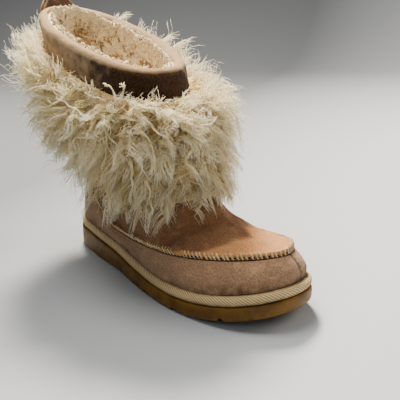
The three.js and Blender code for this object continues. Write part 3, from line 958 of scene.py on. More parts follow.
@dataclass(frozen=True)
class Outsole:
    """The moulded gum sole: true outline, toe spring, thick heel and cross grooves."""

    around: int = 320
    grooves: tuple = (22, 110, 154, 192, 235)
    groove_width: float = 3.4
    groove_depth: float = 3.2
    cut_length: float = 160
    cut_sides: int = 20
    below_middle: float = 0.1
    cap_steps: int = 6
    under_scuff: float = 0.4
    top_scuff: float = 0.1

    # inset from the outline, share of the thickness, shift, and how scuffed it is there
    side: tuple = (
        (6.0, 0, 0, 0.4),
        (2.4, 0, 0, 0.6),
        (1.5, 0, 0.25, 1),
        (0.7, 0, 1, 1),
        (0.15, 0, 2.2, 0.8),
        (0, 0, 3.4, 0.5),
        (-0.1, 0.5, 0, 0.15),
        (0, 1, -2.6, 0.1),
        (0.2, 1, -1.4, 0.1),
        (0.8, 1, -0.5, 0.2),
        (2.2, 1, 0, 0.2),
        (5, 1, 0, 0.2),
    )

    def build(self) -> list[bpy.types.Object]:
        """Makes the sole, cuts its grooves and dresses it.

        Returns:
            The piece.
        """
        angle = turns(self.around)
        rings, scuffs = [], []
        for inset, share, shift, scuff in self.side:
            x, y = LAST.outline(angle, inset)
            low, high = LAST.underside(y), LAST.outsole_top(y)
            rings.append(np.stack([x, y, low + (high - low) * share + shift], axis=-1))
            scuffs.append(scuff)
        stack = closed_stack(np.array(rings), self.cap_steps)
        under, over = [self.under_scuff] * self.cap_steps, [self.top_scuff] * self.cap_steps
        scuff = np.array([*under, *scuffs, *over])[:, None]
        piece = wrap("gum_outsole", stack, {"scuff": scuff}, smooth=50)
        dress(piece, GumRubber().material())
        self.cut_grooves(piece)
        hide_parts("outsole")
        return [piece]

    def cut_grooves(self, piece: bpy.types.Object) -> None:
        """Cuts the round-topped grooves across the underside, near-black inside.

        Args:
            piece: The sole.
        """
        cutters = []
        for distance in self.grooves:
            y = LAST.heel_back - distance
            z = float(LAST.underside(np.array(y))) + self.groove_depth - self.groove_width / 2
            bpy.ops.mesh.primitive_cylinder_add(
                vertices=self.cut_sides,
                radius=self.groove_width / 2 * MM,
                depth=self.cut_length * MM,
                location=(0, y * MM, z * MM),
                rotation=(0, math.pi / 2, 0),
            )
            bar = bpy.context.object
            bpy.ops.object.transform_apply(location=True, rotation=True, scale=True)
            for vertex in bar.data.vertices:
                if vertex.co.z < (z - self.below_middle) * MM:
                    vertex.co.z -= 2 * self.groove_depth * MM
            cutters.append(bar)
        bpy.ops.object.select_all(action="DESELECT")
        for bar in cutters:
            bar.select_set(True)
        bpy.context.view_layer.objects.active = cutters[0]
        bpy.ops.object.join()
        cutter = bpy.context.object
        # the cutter gives the grooves' walls a near-black rubber
        cutter.data.materials.append(GumRubber(name="dark_groove_rubber", honey="1C140B", deep="140E08").material())
        modifier = piece.modifiers.new("grooves", "BOOLEAN")
        modifier.operation, modifier.object, modifier.solver = "DIFFERENCE", cutter, "EXACT"
        modifier.material_mode = "TRANSFER"
        bpy.context.view_layer.objects.active = piece
        bpy.ops.object.modifier_apply(modifier=modifier.name)
        bpy.data.objects.remove(cutter)
        shade(piece, 40)


@dataclass(frozen=True)
class MidsoleWrap:
    """The rim above the outsole, wrapped in twill tape."""

    around: int = 360
    cap_steps: int = 6

    # inset from the outsole's outline, height above its top and how grubby it is there
    side: tuple = (
        (4.0, 0.3, 1),
        (2.2, 0.35, 1),
        (1.3, 0.9, 1),
        (0.8, 1.7, 0.7),
        (0.45, 2.8, 0.25),
        (0.35, 3.9, 0.1),
        (0.45, 5.0, 0.1),
        (0.9, 6.1, 0.1),
        (1.6, 7.1, 0.15),
        (2.5, 7.8, 0.3),
        (3.8, 8.2, 0.8),
        (5.2, 8.2, 1),
        (9.0, 8.2, 1),
    )

    def build(self) -> list[bpy.types.Object]:
        """Makes and dresses the wrapped rim.

        Returns:
            The piece.
        """
        angle = turns(self.around)
        rings = []
        for inset, height, _ in self.side:
            x, y = LAST.outline(angle, inset)
            rings.append(np.stack([x, y, LAST.outsole_top(y) + height], axis=-1))
        stack = closed_stack(np.array(rings), self.cap_steps)
        hidden = [1] * self.cap_steps
        soil = np.array([*hidden, *(row[2] for row in self.side), *hidden])[:, None]
        piece = wrap("midsole_wrap", stack, {"soil": soil})
        dress(piece, TwillTape().material())
        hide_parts("midsole")
        return [piece]


@dataclass(frozen=True)
class Crease:
    """A soft trough in the suede with a swell beside it, placed on the form."""

    route: tuple
    depth: float
    width: float
    swell: float = 0.5
    beside: float = 1.9

    def offset(self, points: np.ndarray) -> np.ndarray:
        """Distance that the crease moves each point out of the wall.

        Args:
            points: Places on the form in millimetres.

        Returns:
            Millimetres, negative into the wall.
        """
        angles, levels = np.array([place[0] for place in self.route]), [place[1] for place in self.route]
        line = LAST.form(np.radians(angles), np.array(levels, float))
        best = np.full(points.shape[:-1], np.inf)
        for start, end in zip(line[:-1], line[1:]):
            run = end - start
            share = np.clip((points - start) @ run / (run @ run), 0, 1)
            best = np.minimum(best, np.linalg.norm(points - start - share[..., None] * run, axis=-1))
        trough = -self.depth * bell(best, self.width)
        ridge = self.swell * self.depth * bell(best - self.beside * self.width, self.width)
        return trough + ridge


@dataclass(frozen=True)
class Upper:
    """The hollow suede upper with its raised seam, panel seams, creases and soil."""

    around: int = 270
    seam_groove: float = 4.05
    seam_ridge: float = 5.0
    seam_rows: tuple = (3.3, 5.9, 0.1)
    low_step: float = 0.22
    high_step: float = 0.25
    inner_step: float = 0.5
    groove_depth: float = 1.2
    groove_width: float = 0.22
    lip_height: float = 1.5
    lip_width: float = 0.3
    pull: float = 0.7
    pull_width: float = 1.4
    shadow_width: float = 1.1
    thread_radius: float = 0.68
    shadow_dash_radius: float = 0.8
    panel_thread: float = 0.42
    stitch_spacing: float = 3.4
    stitch_jitter: float = 0.14
    seam_steps: int = 2000
    toe_seam: float = 351
    quarter_seam: float = 110

    # levels up to which the sole holds the suede stiff, and over which it grows soft
    stiff: tuple = (0.3, 1.2)

    # level below which the wall's relief fades towards the sole
    edge: float = 0.25

    # share, first level and fading of each band of soil over the sole
    soiled: tuple = ((1, 0.1, 0.45), (0.35, 0.2, 1.6))

    # angle in degrees, level and reach in millimetres of the rubbed toe
    rubbed_toe: tuple = (20, 2.4, 60)
    vamp_blend: float = 0.4
    crease_blend: float = 0.5

    # least rub, what the toe adds to it and the most; least soil and its height, size and seed of lumps
    rub_range: tuple = (0.25, 0.6, 0.8)
    soil_lumps: tuple = (0.9, 0.5, 30, 8)

    # width in levels of the painted shadow in the raised seam, its darkness and that of the painted shade
    # along the flat seams
    seam_shadow: float = 0.26
    seam_darkness: tuple = (0.9, 0.75)

    # height, size and seed of the suede's soft unevenness
    sway: tuple = ((0.45, 34, 3), (0.22, 13, 4))

    # where the flex crease runs: angle in degrees and level
    flex_angles: tuple = (-75, -50, -30, -15, 5, 27, 41, 55, 66)
    flex_levels: tuple = (4.2, 6.6, 8.4, 8.2, 8.0, 7.6, 6.8, 5.7, 4.2)

    # angle in degrees and level of each point, then depth and width in millimetres
    creases: tuple = (
        Crease(((330, 8.4), (345, 8.2), (5, 8.0), (27, 7.6), (41, 6.8), (55, 5.7)), 1.7, 5),
        Crease(((335, 9.4), (0, 9.2), (30, 8.9), (52, 8.2), (62, 7.2)), 1.5, 5),
        Crease(((66, 6.4), (62, 8.0), (52, 9.4)), 1.2, 5),
        Crease(((92, 6.2), (84, 7.4), (80, 9.0)), 1.0, 6),
        Crease(((34, 1.0), (40, 2.4), (52, 3.4)), 0.8, 7),
        Crease(((62, 0.9), (66, 2.2), (76, 3.4)), 0.9, 8),
        Crease(((96, 0.8), (92, 2.0), (88, 3.2)), 0.8, 8),
        Crease(((124, 0.9), (120, 1.8), (118, 2.8)), 0.7, 7),
        Crease(((300, 6.0), (290, 7.4), (282, 9.0)), 1.2, 6),
        Crease(((318, 5.8), (312, 7.0), (300, 8.6)), 1.2, 5),
    )

    def levels(self) -> np.ndarray:
        """Levels of the outer rings, close together at the raised seam.

        Returns:
            Levels from the sole to the collar.
        """
        start, end, step = self.seam_rows
        below, seam_shade = np.arange(0, start, self.low_step), np.arange(start, end, step)
        above = np.arange(end + step, LAST.collar + step / 10, self.high_step)
        return np.concatenate([below, seam_shade, above])

    def raised(self, level: np.ndarray) -> np.ndarray:
        """Step of the wall at the pinched seam: a groove below and a lip above.

        Args:
            level: Levels of the points.

        Returns:
            Distance out of the form in millimetres.
        """
        groove = -self.groove_depth * bell(level - self.seam_groove, self.groove_width)
        lip = self.lip_height * bell(level - self.seam_ridge, self.lip_width)
        return groove + lip

    def outside(self, angle: np.ndarray, level: np.ndarray) -> np.ndarray:
        """Points of the finished outer surface.

        Args:
            angle: Angles of the points.
            level: Levels of the points.

        Returns:
            Points in millimetres.
        """
        base = LAST.form(angle, level)
        out = self.raised(level) + sum(crease.offset(base) for crease in self.creases)
        soft = smooth_step((level - self.stiff[0]) / self.stiff[1])
        out = out + soft * sum(height * lumps(base, size, seed) for height, size, seed in self.sway)
        out = out - self.pull * self.near_seams(angle, level, self.pull_width)
        return LAST.wall_point(angle, level, out * np.minimum(level / self.edge, 1))

    def near_seams(self, angle: np.ndarray, level: np.ndarray, width: float) -> np.ndarray:
        """How near each point is to the toe seam or a quarter seam, 1 on it.

        Args:
            angle: Angles of the points.
            level: Levels of the points.
            width: Width over which a seam fades in millimetres.

        Returns:
            Values from 0 to 1.
        """
        form = LAST.form(angle, level)
        near = np.zeros(np.broadcast(angle, level).shape)
        seams = (
            (self.toe_seam, level < self.seam_groove),
            (self.quarter_seam, level > self.seam_ridge),
            (360 - self.quarter_seam, level > self.seam_ridge),
        )
        for degrees, there in seams:
            on_seam = LAST.form(np.full_like(level, math.radians(degrees)), level)
            distance = np.linalg.norm(form - on_seam, axis=-1)
            near = np.maximum(near, bell(distance, width) * there)
        return near

    def build(self) -> list[bpy.types.Object]:
        """Makes the hollow wall and the thread of its seams.

        Returns:
            The wall and its stitches.
        """
        angle, level = np.meshgrid(turns(self.around), self.levels())
        outer = self.outside(angle, level)
        inner_levels = np.arange(LAST.collar, -self.inner_step / 2, -self.inner_step)
        inner_angle, inner_level = np.meshgrid(turns(self.around), inner_levels)
        inner = LAST.wall_point(inner_angle, inner_level, np.full_like(inner_level, -LAST.wall))
        points = np.concatenate([outer, inner, outer[:1]])
        piece = wrap("suede_upper", points, self.attributes(angle, level, len(inner)), smooth=70)
        dress(piece, BrushedSuede().material())
        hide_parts("upper")
        return [piece, self.whip_stitches(), self.seam_shadow_dashes(), self.panel_stitches()]

    def toe_side(self, angle: np.ndarray, level: np.ndarray) -> np.ndarray:
        """1 on the toe's side of the flex crease and 0 on the instep's side, which is painted darker as
        shade.

        Args:
            angle: Angles of the points.
            level: Levels of the points.

        Returns:
            Values from 0 to 1.
        """
        turn = np.degrees((angle + math.pi) % FULL_TURN - math.pi)
        crease = np.interp(turn, self.flex_angles, self.flex_levels)
        return smooth_step((crease - level) / self.crease_blend + 0.5)

    def attributes(self, angle: np.ndarray, level: np.ndarray, inner: int) -> dict:
        """Panel, soil, rub and painted seam shade values of each point of the wall.

        Args:
            angle: Angles of the outer points.
            level: Levels of the outer points.
            inner: How many inner rings follow.

        Returns:
            Attribute name to its values.
        """
        points = LAST.form(angle, level)
        vamp = smooth_step((level - self.seam_groove) / self.vamp_blend)
        low = sum(share * bell(np.maximum(level - start, 0), width) for share, start, width in self.soiled)
        least, height, size, seed = self.soil_lumps
        soil = np.clip(low * (least + height * lumps(points, size, seed)), 0, 1)
        degrees, toe_level, reach = self.rubbed_toe
        toe = bell(np.linalg.norm(points - LAST.form(math.radians(degrees), toe_level), axis=-1), reach)
        least, added, most = self.rub_range
        rub = np.clip(least + added * toe, 0, most)
        # painted shade: dark in the raised seam's groove and along the pulled-in flat seams
        raised, flat = self.seam_darkness
        raised_seam_shade = raised * bell(level - self.seam_groove, self.seam_shadow)
        seam_shade = raised_seam_shade + flat * self.near_seams(angle, level, self.shadow_width)
        table = {
            "vamp": vamp,
            "toe_side": self.toe_side(angle, level),
            "soil": soil,
            "rub": rub,
            "seam_shade": np.clip(seam_shade, 0, 1),
        }
        width = angle.shape[1]
        plain = np.zeros((inner, width))
        return {name: np.concatenate([value, plain, value[:1]]) for name, value in table.items()}

    def seam_places(self, spacing: float) -> tuple[np.ndarray, np.ndarray, np.ndarray]:
        """Places along the raised seam.

        Args:
            spacing: Distance between stitches in millimetres.

        Returns:
            The length at each stitch, then lengths and angles to read angles from.
        """
        fine = turns(self.seam_steps)
        ring = LAST.form(fine, np.full_like(fine, self.seam_ridge))
        length = run_along(ring)
        count = int(length[-1] / spacing)
        jitter = np.random.default_rng(21).uniform(-self.stitch_jitter, self.stitch_jitter, count)
        return (np.arange(count) + jitter) * length[-1] / count, length, fine

    def whip_stitches(self) -> bpy.types.Object:
        """Slanting stitches over the pinched lip, all the way round.

        Returns:
            The piece.
        """
        slant, steps, half, lift_over = 1.2, 8, 0.68, 0.45
        places, length, fine = self.seam_places(self.stitch_spacing)
        across = np.linspace(-1, 1, steps)
        where = places[:, None] + slant * across
        angle = np.interp(where % length[-1], length, fine)
        level = self.seam_ridge - 0.1 + half * across * np.ones_like(where)
        lift = self.raised(level) + 0.3 + lift_over * (1 - across**2)
        paths = LAST.wall_point(angle, level, lift)
        radius = np.full(len(places), self.thread_radius)
        piece = fibres("whip_stitches", paths, radius, {}, sides=6, taper=0.1)
        return dress(piece, WaxedThread().material())

    def seam_shadow_dashes(self) -> bpy.types.Object:
        """Dark dashes of painted shadow under the lip between the stitches.

        Returns:
            The piece.
        """
        steps, half, above = 4, 0.85, 0.42
        places, length, fine = self.seam_places(self.stitch_spacing)
        where = places[:, None] + self.stitch_spacing / 2 + half * np.linspace(-1, 1, steps)
        angle = np.interp(where % length[-1], length, fine)
        level = np.full_like(where, self.seam_groove + above)
        paths = LAST.wall_point(angle, level, self.raised(level) + 0.1)
        radius = np.full(len(places), self.shadow_dash_radius)
        piece = fibres("seam_shadow_dashes", paths, radius, {}, sides=6, taper=0.2)
        # near-black pieces that paint the shadow under the lip between stitches
        dash_shadow = WaxedThread(name="seam_shadow", light="2A1B10", dark="140C06")
        return dress(piece, dash_shadow.material())

    def panel_stitches(self) -> bpy.types.Object:
        """Two rows of short stitches beside the toe seam, and one by each quarter seam.

        Returns:
            The piece.
        """
        steps, length, spacing, beside = 4, 2.0, 3.6, 2.1
        rows = (
            (self.toe_seam, 0.5, 3.5, -beside),
            (self.toe_seam, 0.5, 3.5, beside),
            (self.quarter_seam, 5.9, 9.6, beside),
            (360 - self.quarter_seam, 5.9, 9.6, beside),
        )
        paths = []
        for degrees, low, high, aside in rows:
            level = np.linspace(low, high, 200)
            angle = np.full_like(level, math.radians(degrees))
            step = 0.01
            sideways = unit(LAST.form(angle + step, level) - LAST.form(angle - step, level))
            line = self.outside(angle, level) + sideways * aside + LAST.normal(angle, level) * 0.25
            run = run_along(line)
            for start in np.arange(0, run[-1] - length, spacing):
                at = start + np.linspace(0, length, steps)
                paths.append(np.stack([np.interp(at, run, line[:, axis]) for axis in range(3)], axis=-1))
        stitches = np.array(paths)
        radius = np.full(len(stitches), self.panel_thread)
        piece = fibres("panel_stitches", stitches, radius, {}, sides=6, taper=0.0)
        thread = WaxedThread(name="dark_thread", light="9C8262", dark="5C4630")
        return dress(piece, thread.material())


@dataclass(frozen=True)
class Cuff:
    """The suede cuff folded over the collar's edge."""

    around: int = 240
    steps: int = 3

    # share that the inner leg gives up on the outer side, where it starts to, over how much, and the
    # distance out that it keeps
    narrowing: float = 0.4
    narrow_start: float = -0.7
    narrow_blend: float = 0.9
    inner_leg: float = -3.5

    # the cuff sways freely past this distance out, over this height and past this distance inwards
    free: tuple = (1, 0.5, -3.6)

    # height, size and seed of the cuff's sway, and of its lower edge's droop
    sway: tuple = ((0.9, 46, 11), (0.5, 15, 12))
    droop: tuple = (0.9, 60, 13)
    droop_below: float = -20

    # middle and width of the darkest part in radians, least and added darkness, and where it fades
    front: tuple = (0.15, 0.95)
    darkness_range: tuple = (0.3, 0.75)
    fade: tuple = (1.5, 4)

    # height above the collar's edge, distance out, and how light the rolled edge is there
    fold: tuple = (
        (-27.6, 0.4, 0),
        (-29.0, 1.4, 0.1),
        (-28.6, 3.2, 0),
        (-26.5, 4.2, 0),
        (-21.0, 4.5, 0),
        (-14.0, 4.4, 0),
        (-8.0, 4.3, 0),
        (-4.0, 4.1, 0),
        (-1.2, 3.7, 0.1),
        (0.8, 2.9, 0.3),
        (2.0, 1.5, 0.7),
        (2.5, -0.2, 0.6),
        (2.3, -2.2, 0.2),
        (1.2, -4.4, 0.1),
        (-1.4, -6.0, 0.25),
        (-5.5, -6.0, 0.2),
        (-10.0, -5.0, 0.2),
        (-9.6, -3.4, 0),
        (0.4, -3.4, 0),
        (0.4, 0.4, 0),
    )

    def build(self) -> list[bpy.types.Object]:
        """Makes the cuff, softly uneven, and dresses it.

        Returns:
            The piece.
        """
        angle = turns(self.around)
        table = np.array([*self.fold, self.fold[0]])
        spans = zip(table[:-1], table[1:])
        rows = [low + (high - low) * step / self.steps for low, high in spans for step in range(self.steps)]
        up, out, edge = (column[:, None] for column in np.array([*rows, rows[0]]).T)
        outer_side = smooth_step((np.sin(angle) - self.narrow_start) / self.narrow_blend)
        narrow = 1 - self.narrowing * outer_side[None, :]
        leg = np.minimum(out * narrow, self.inner_leg)
        out = np.where(out < self.inner_leg, leg, out * np.ones_like(narrow))
        base = LAST.collar_point(angle[None, :], up, out)
        outward = unit(LAST.normal(angle, np.full_like(angle, LAST.collar - 0.5)))[None]
        outside, over, inside = self.free
        clear = np.where((out > outside) | (up > over) | (out < inside), 1, 0)
        sway = clear * sum(height * lumps(base, size, seed) for height, size, seed in self.sway)
        points = base + outward * sway[..., None]
        height, size, seed = self.droop
        points[..., 2] += height * lumps(base, size, seed) * np.where(up < self.droop_below, 1, 0) * clear
        values = {"edge": edge, "dark": self.darkness(angle, up)}
        piece = wrap("suede_cuff", points, values, smooth=70)
        dress(piece, CuffNap().material())
        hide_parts("cuff")
        return [piece]

    def darkness(self, angle: np.ndarray, up: np.ndarray) -> np.ndarray:
        """Says how dark the stroked nap is: darkest round the front, lighter along the outer side.

        Args:
            angle: Angles round the cuff.
            up: Height of each ring above the collar's edge.

        Returns:
            Values from 0 to about 1.
        """
        middle, width = self.front
        front = bell((angle + math.pi) % FULL_TURN - math.pi - middle, width)
        start, fading = self.fade
        lower = smooth_step((-up + start) / fading)
        least, added = self.darkness_range
        return lower * (least + added * front)[None, :]


@dataclass(frozen=True)
class Lining:
    """The curly fleece inside: lining of the shaft and foot, the insole and the loose curls."""

    around: int = 240
    pile: float = 4.6
    tufts: int = 1000
    tuft_size: float = 3.3
    tuft_sizes: tuple = (0.75, 1.3)
    tuft_depth: float = 2.6
    tuft_seed: int = 37

    # shares of the tufts and of the waves in the pile's height, the least pile, and the backing
    tuft_share: float = 0.8
    wave_share: float = 0.3
    least_pile: float = 0.3
    backing: float = 0.5
    curls: int = 1300
    curl_seed: int = 41
    curl_depth: float = 2.2
    curl_steps: int = 6

    # size and thickness of the curls, their twist in radians, how far they stand out, and the share of
    # the pile that their roots lie in
    curl_size: tuple = (1.2, 2.0)
    curl_radius: tuple = (0.7, 1.15)
    curl_twist: tuple = (3.0, 5.4)
    curl_reach: float = 1.3
    curl_root: float = 0.85

    # how light a curl is at its root, what its tip adds, and the random spread; the darker roots are painted
    # shade
    curl_crown: tuple = (0.5, 0.45, 0.14)

    # where the brown hollow of painted shade lies, its width, and how much it takes from the pile and the
    # curls
    hollow_angle: float = 195
    hollow_level: float = 14.1
    hollow_width: float = 17
    hollow_shares: tuple = (0.8, 0.7)

    # height, size and seed of the soft waves in the fleece
    waves: tuple = ((0.55, 17, 31), (0.35, 8, 32))

    # first level, end and step of each band of rows
    rows: tuple = ((0.9, 11, 0.6), (11, 13.5, 0.14), (13.5, 14.98, 0.032))

    # levels of the rows behind it, and over how much of a level its pile shrinks at the collar
    back_rows: tuple = (*np.arange(0.9, 13.5, 0.6), 13.5, 14, 14.5)
    rim_level: float = 0.04

    # level, distance in from the wall and height over the midsole of the insole's rings
    insole_rings: tuple = ((0, 1.2, 0.3), (0.2, 0.8, 1.5), (0.8, 0.9, 3.5), (0.9, 2.2, 4.4))
    insole_around: int = 140
    insole_steps: int = 12
    insole_pile: float = 0.9

    def build(self) -> list[bpy.types.Object]:
        """Makes the lining, the insole and the curls."""
        fleece = Shearling().material()
        return [self.lining(fleece), self.insole(fleece), self.loose_curls(fleece)]

    def pile_height(self, points: np.ndarray) -> np.ndarray:
        """Height of soft waves in the fleece, from 0 in the hollows to 1."""
        waves = sum(height * np.abs(lumps(points, size, seed)) for height, size, seed in self.waves)
        return np.clip(waves, 0, 1)

    def hollow(self, points: np.ndarray) -> np.ndarray:
        """1 in the hollow by the heel that is painted brown as shade, fading to 0 round it."""
        middle = LAST.form(math.radians(self.hollow_angle), self.hollow_level)
        return bell(np.linalg.norm(points - middle, axis=-1), self.hollow_width)

    def tuft_height(self, points: np.ndarray) -> np.ndarray:
        """Gives the height of round tufts over the upper part of the lining, from 0 to 1.

        Args:
            points: Rings of the lining in millimetres.

        Returns:
            One value for each point.
        """
        random = np.random.default_rng(self.tuft_seed)
        angle = random.uniform(0, FULL_TURN, self.tufts)
        level = LAST.collar - self.tuft_depth * random.uniform(0, 1, self.tufts) ** 1.7
        middle = LAST.wall_point(angle, level, np.full_like(level, -LAST.wall))
        size = self.tuft_size * random.uniform(*self.tuft_sizes, self.tufts)
        height = np.zeros(points.shape[:2])
        for row, ring in enumerate(points):
            distance = np.linalg.norm(ring[:, None] - middle[None], axis=-1) / size
            height[row] = np.sqrt(np.clip(1 - distance**2, 0, 1)).max(axis=1)
        return height

    def lining(self, fleece: bpy.types.Material) -> bpy.types.Object:
        """Lays a tufted sheet over the inside of the wall, its rows closest near the collar.

        Args:
            fleece: Its material.

        Returns:
            The piece.
        """
        rows = np.concatenate([np.arange(*band) for band in self.rows])
        angle, level = np.meshgrid(turns(self.around), rows)
        face = LAST.wall_point(angle, level, np.full_like(level, -LAST.wall))
        height = self.tuft_share * self.tuft_height(face) + self.wave_share * self.pile_height(face)
        # the hollow lowers the pile and its crown, painting shade deep by the heel
        height = np.clip(height, 0, 1) * (1 - self.hollow_shares[0] * self.hollow(face))
        rim = smooth_step((LAST.collar - level) / self.rim_level)
        pile = self.pile * (self.least_pile + (1 - self.least_pile) * height) * rim
        face = LAST.wall_point(angle, level, -LAST.wall - self.backing - pile)
        back_angle, back_level = np.meshgrid(turns(self.around), [rows[-1], *self.back_rows[::-1]])
        back = LAST.wall_point(back_angle, back_level, np.full_like(back_level, -LAST.wall - 0.1))
        points = np.concatenate([face, back, face[:1]])
        crown = np.concatenate([height, np.zeros(back.shape[:2]), height[:1]])
        piece = wrap("fleece_lining", points, {"crown": crown}, smooth=80)
        return dress(piece, fleece)

    def insole(self, fleece: bpy.types.Material) -> bpy.types.Object:
        """Lays the fleece insole on the midsole.

        Args:
            fleece: Its material.

        Returns:
            The piece.
        """
        angle = turns(self.insole_around)
        rings = []
        for level, inset, height in self.insole_rings:
            ring = LAST.wall_point(angle, np.full_like(angle, level), np.full_like(angle, -LAST.wall - inset))
            ring[:, 2] = LAST.midsole_top(ring[:, 1]) + height
            rings.append(ring)
        points = closed_stack(np.array(rings), self.insole_steps)
        top = np.arange(len(points))[:, None] >= self.insole_steps + len(rings)
        height = self.pile_height(points) * top
        points[..., 2] += self.insole_pile * height
        piece = wrap("fleece_insole", points, {"crown": height}, smooth=80)
        dress(piece, fleece)
        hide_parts("insole")
        return piece

    def loose_curls(self, fleece: bpy.types.Material) -> bpy.types.Object:
        """Stands small curls on the lining near the collar, where they catch the light.

        Args:
            fleece: Their material.

        Returns:
            The piece.
        """
        random = np.random.default_rng(self.curl_seed)
        angle = random.uniform(0, FULL_TURN, self.curls)
        level = LAST.collar - 0.01 - self.curl_depth * random.uniform(0, 1, self.curls) ** 2.6
        root = LAST.wall_point(angle, level, np.full_like(level, -LAST.wall - self.pile * self.curl_root))
        inward = -LAST.normal(angle, level)
        upward = unit(np.cross(inward, unit(random.normal(size=root.shape))))
        aside = np.cross(inward, upward)
        s = np.linspace(0, 1, self.curl_steps)[None, :, None]
        size = random.uniform(*self.curl_size, self.curls)[:, None, None]
        twist = random.uniform(*self.curl_twist, self.curls)[:, None, None] * s
        paths = root[:, None] + inward[:, None] * size * self.curl_reach * s
        paths = paths + size * ((np.cos(twist) - 1) * upward[:, None] + np.sin(twist) * aside[:, None])
        least, added, spread = self.curl_crown
        # curls lighten towards their tips, the darker roots painted shade
        crown = least + added * s[..., 0] + random.normal(0, spread, (self.curls, 1))
        # the hollow darkens the curls there as painted shade
        crown = np.clip(crown - self.hollow_shares[1] * self.hollow(paths), 0, 1)
        radius = random.uniform(*self.curl_radius, self.curls)
        piece = fibres("fleece_curls", paths, radius, {"crown": crown}, sides=4, taper=0.4)
        return dress(piece, fleece)


# steps that spread points evenly over a square, and where they start
EVEN_STEPS = (0.7548777, 0.5698403)
EVEN_STARTS = (0.3, 0.5)


@dataclass(frozen=True)
class WoolLayer:
    """One kind of lock: how many, how full, how far they reach and how they wave.

    Lengths are in millimetres. The shares are of the wool's height, reach and fall are shares of the
    wool's own, and each pair of the spread is the width of a lock at its root and at its tip.
    """

    name: str
    locks: int
    fibres: int
    steps: int
    shares: tuple[float, float]
    reach: float
    fall: float
    fan: float
    spread: tuple[float, float]
    wave: float
    wavelength: float
    hook: float
    radius: tuple[float, float]
    tone: tuple[float, float]
    seed: int
    lift: float = 0
    front: bool = False


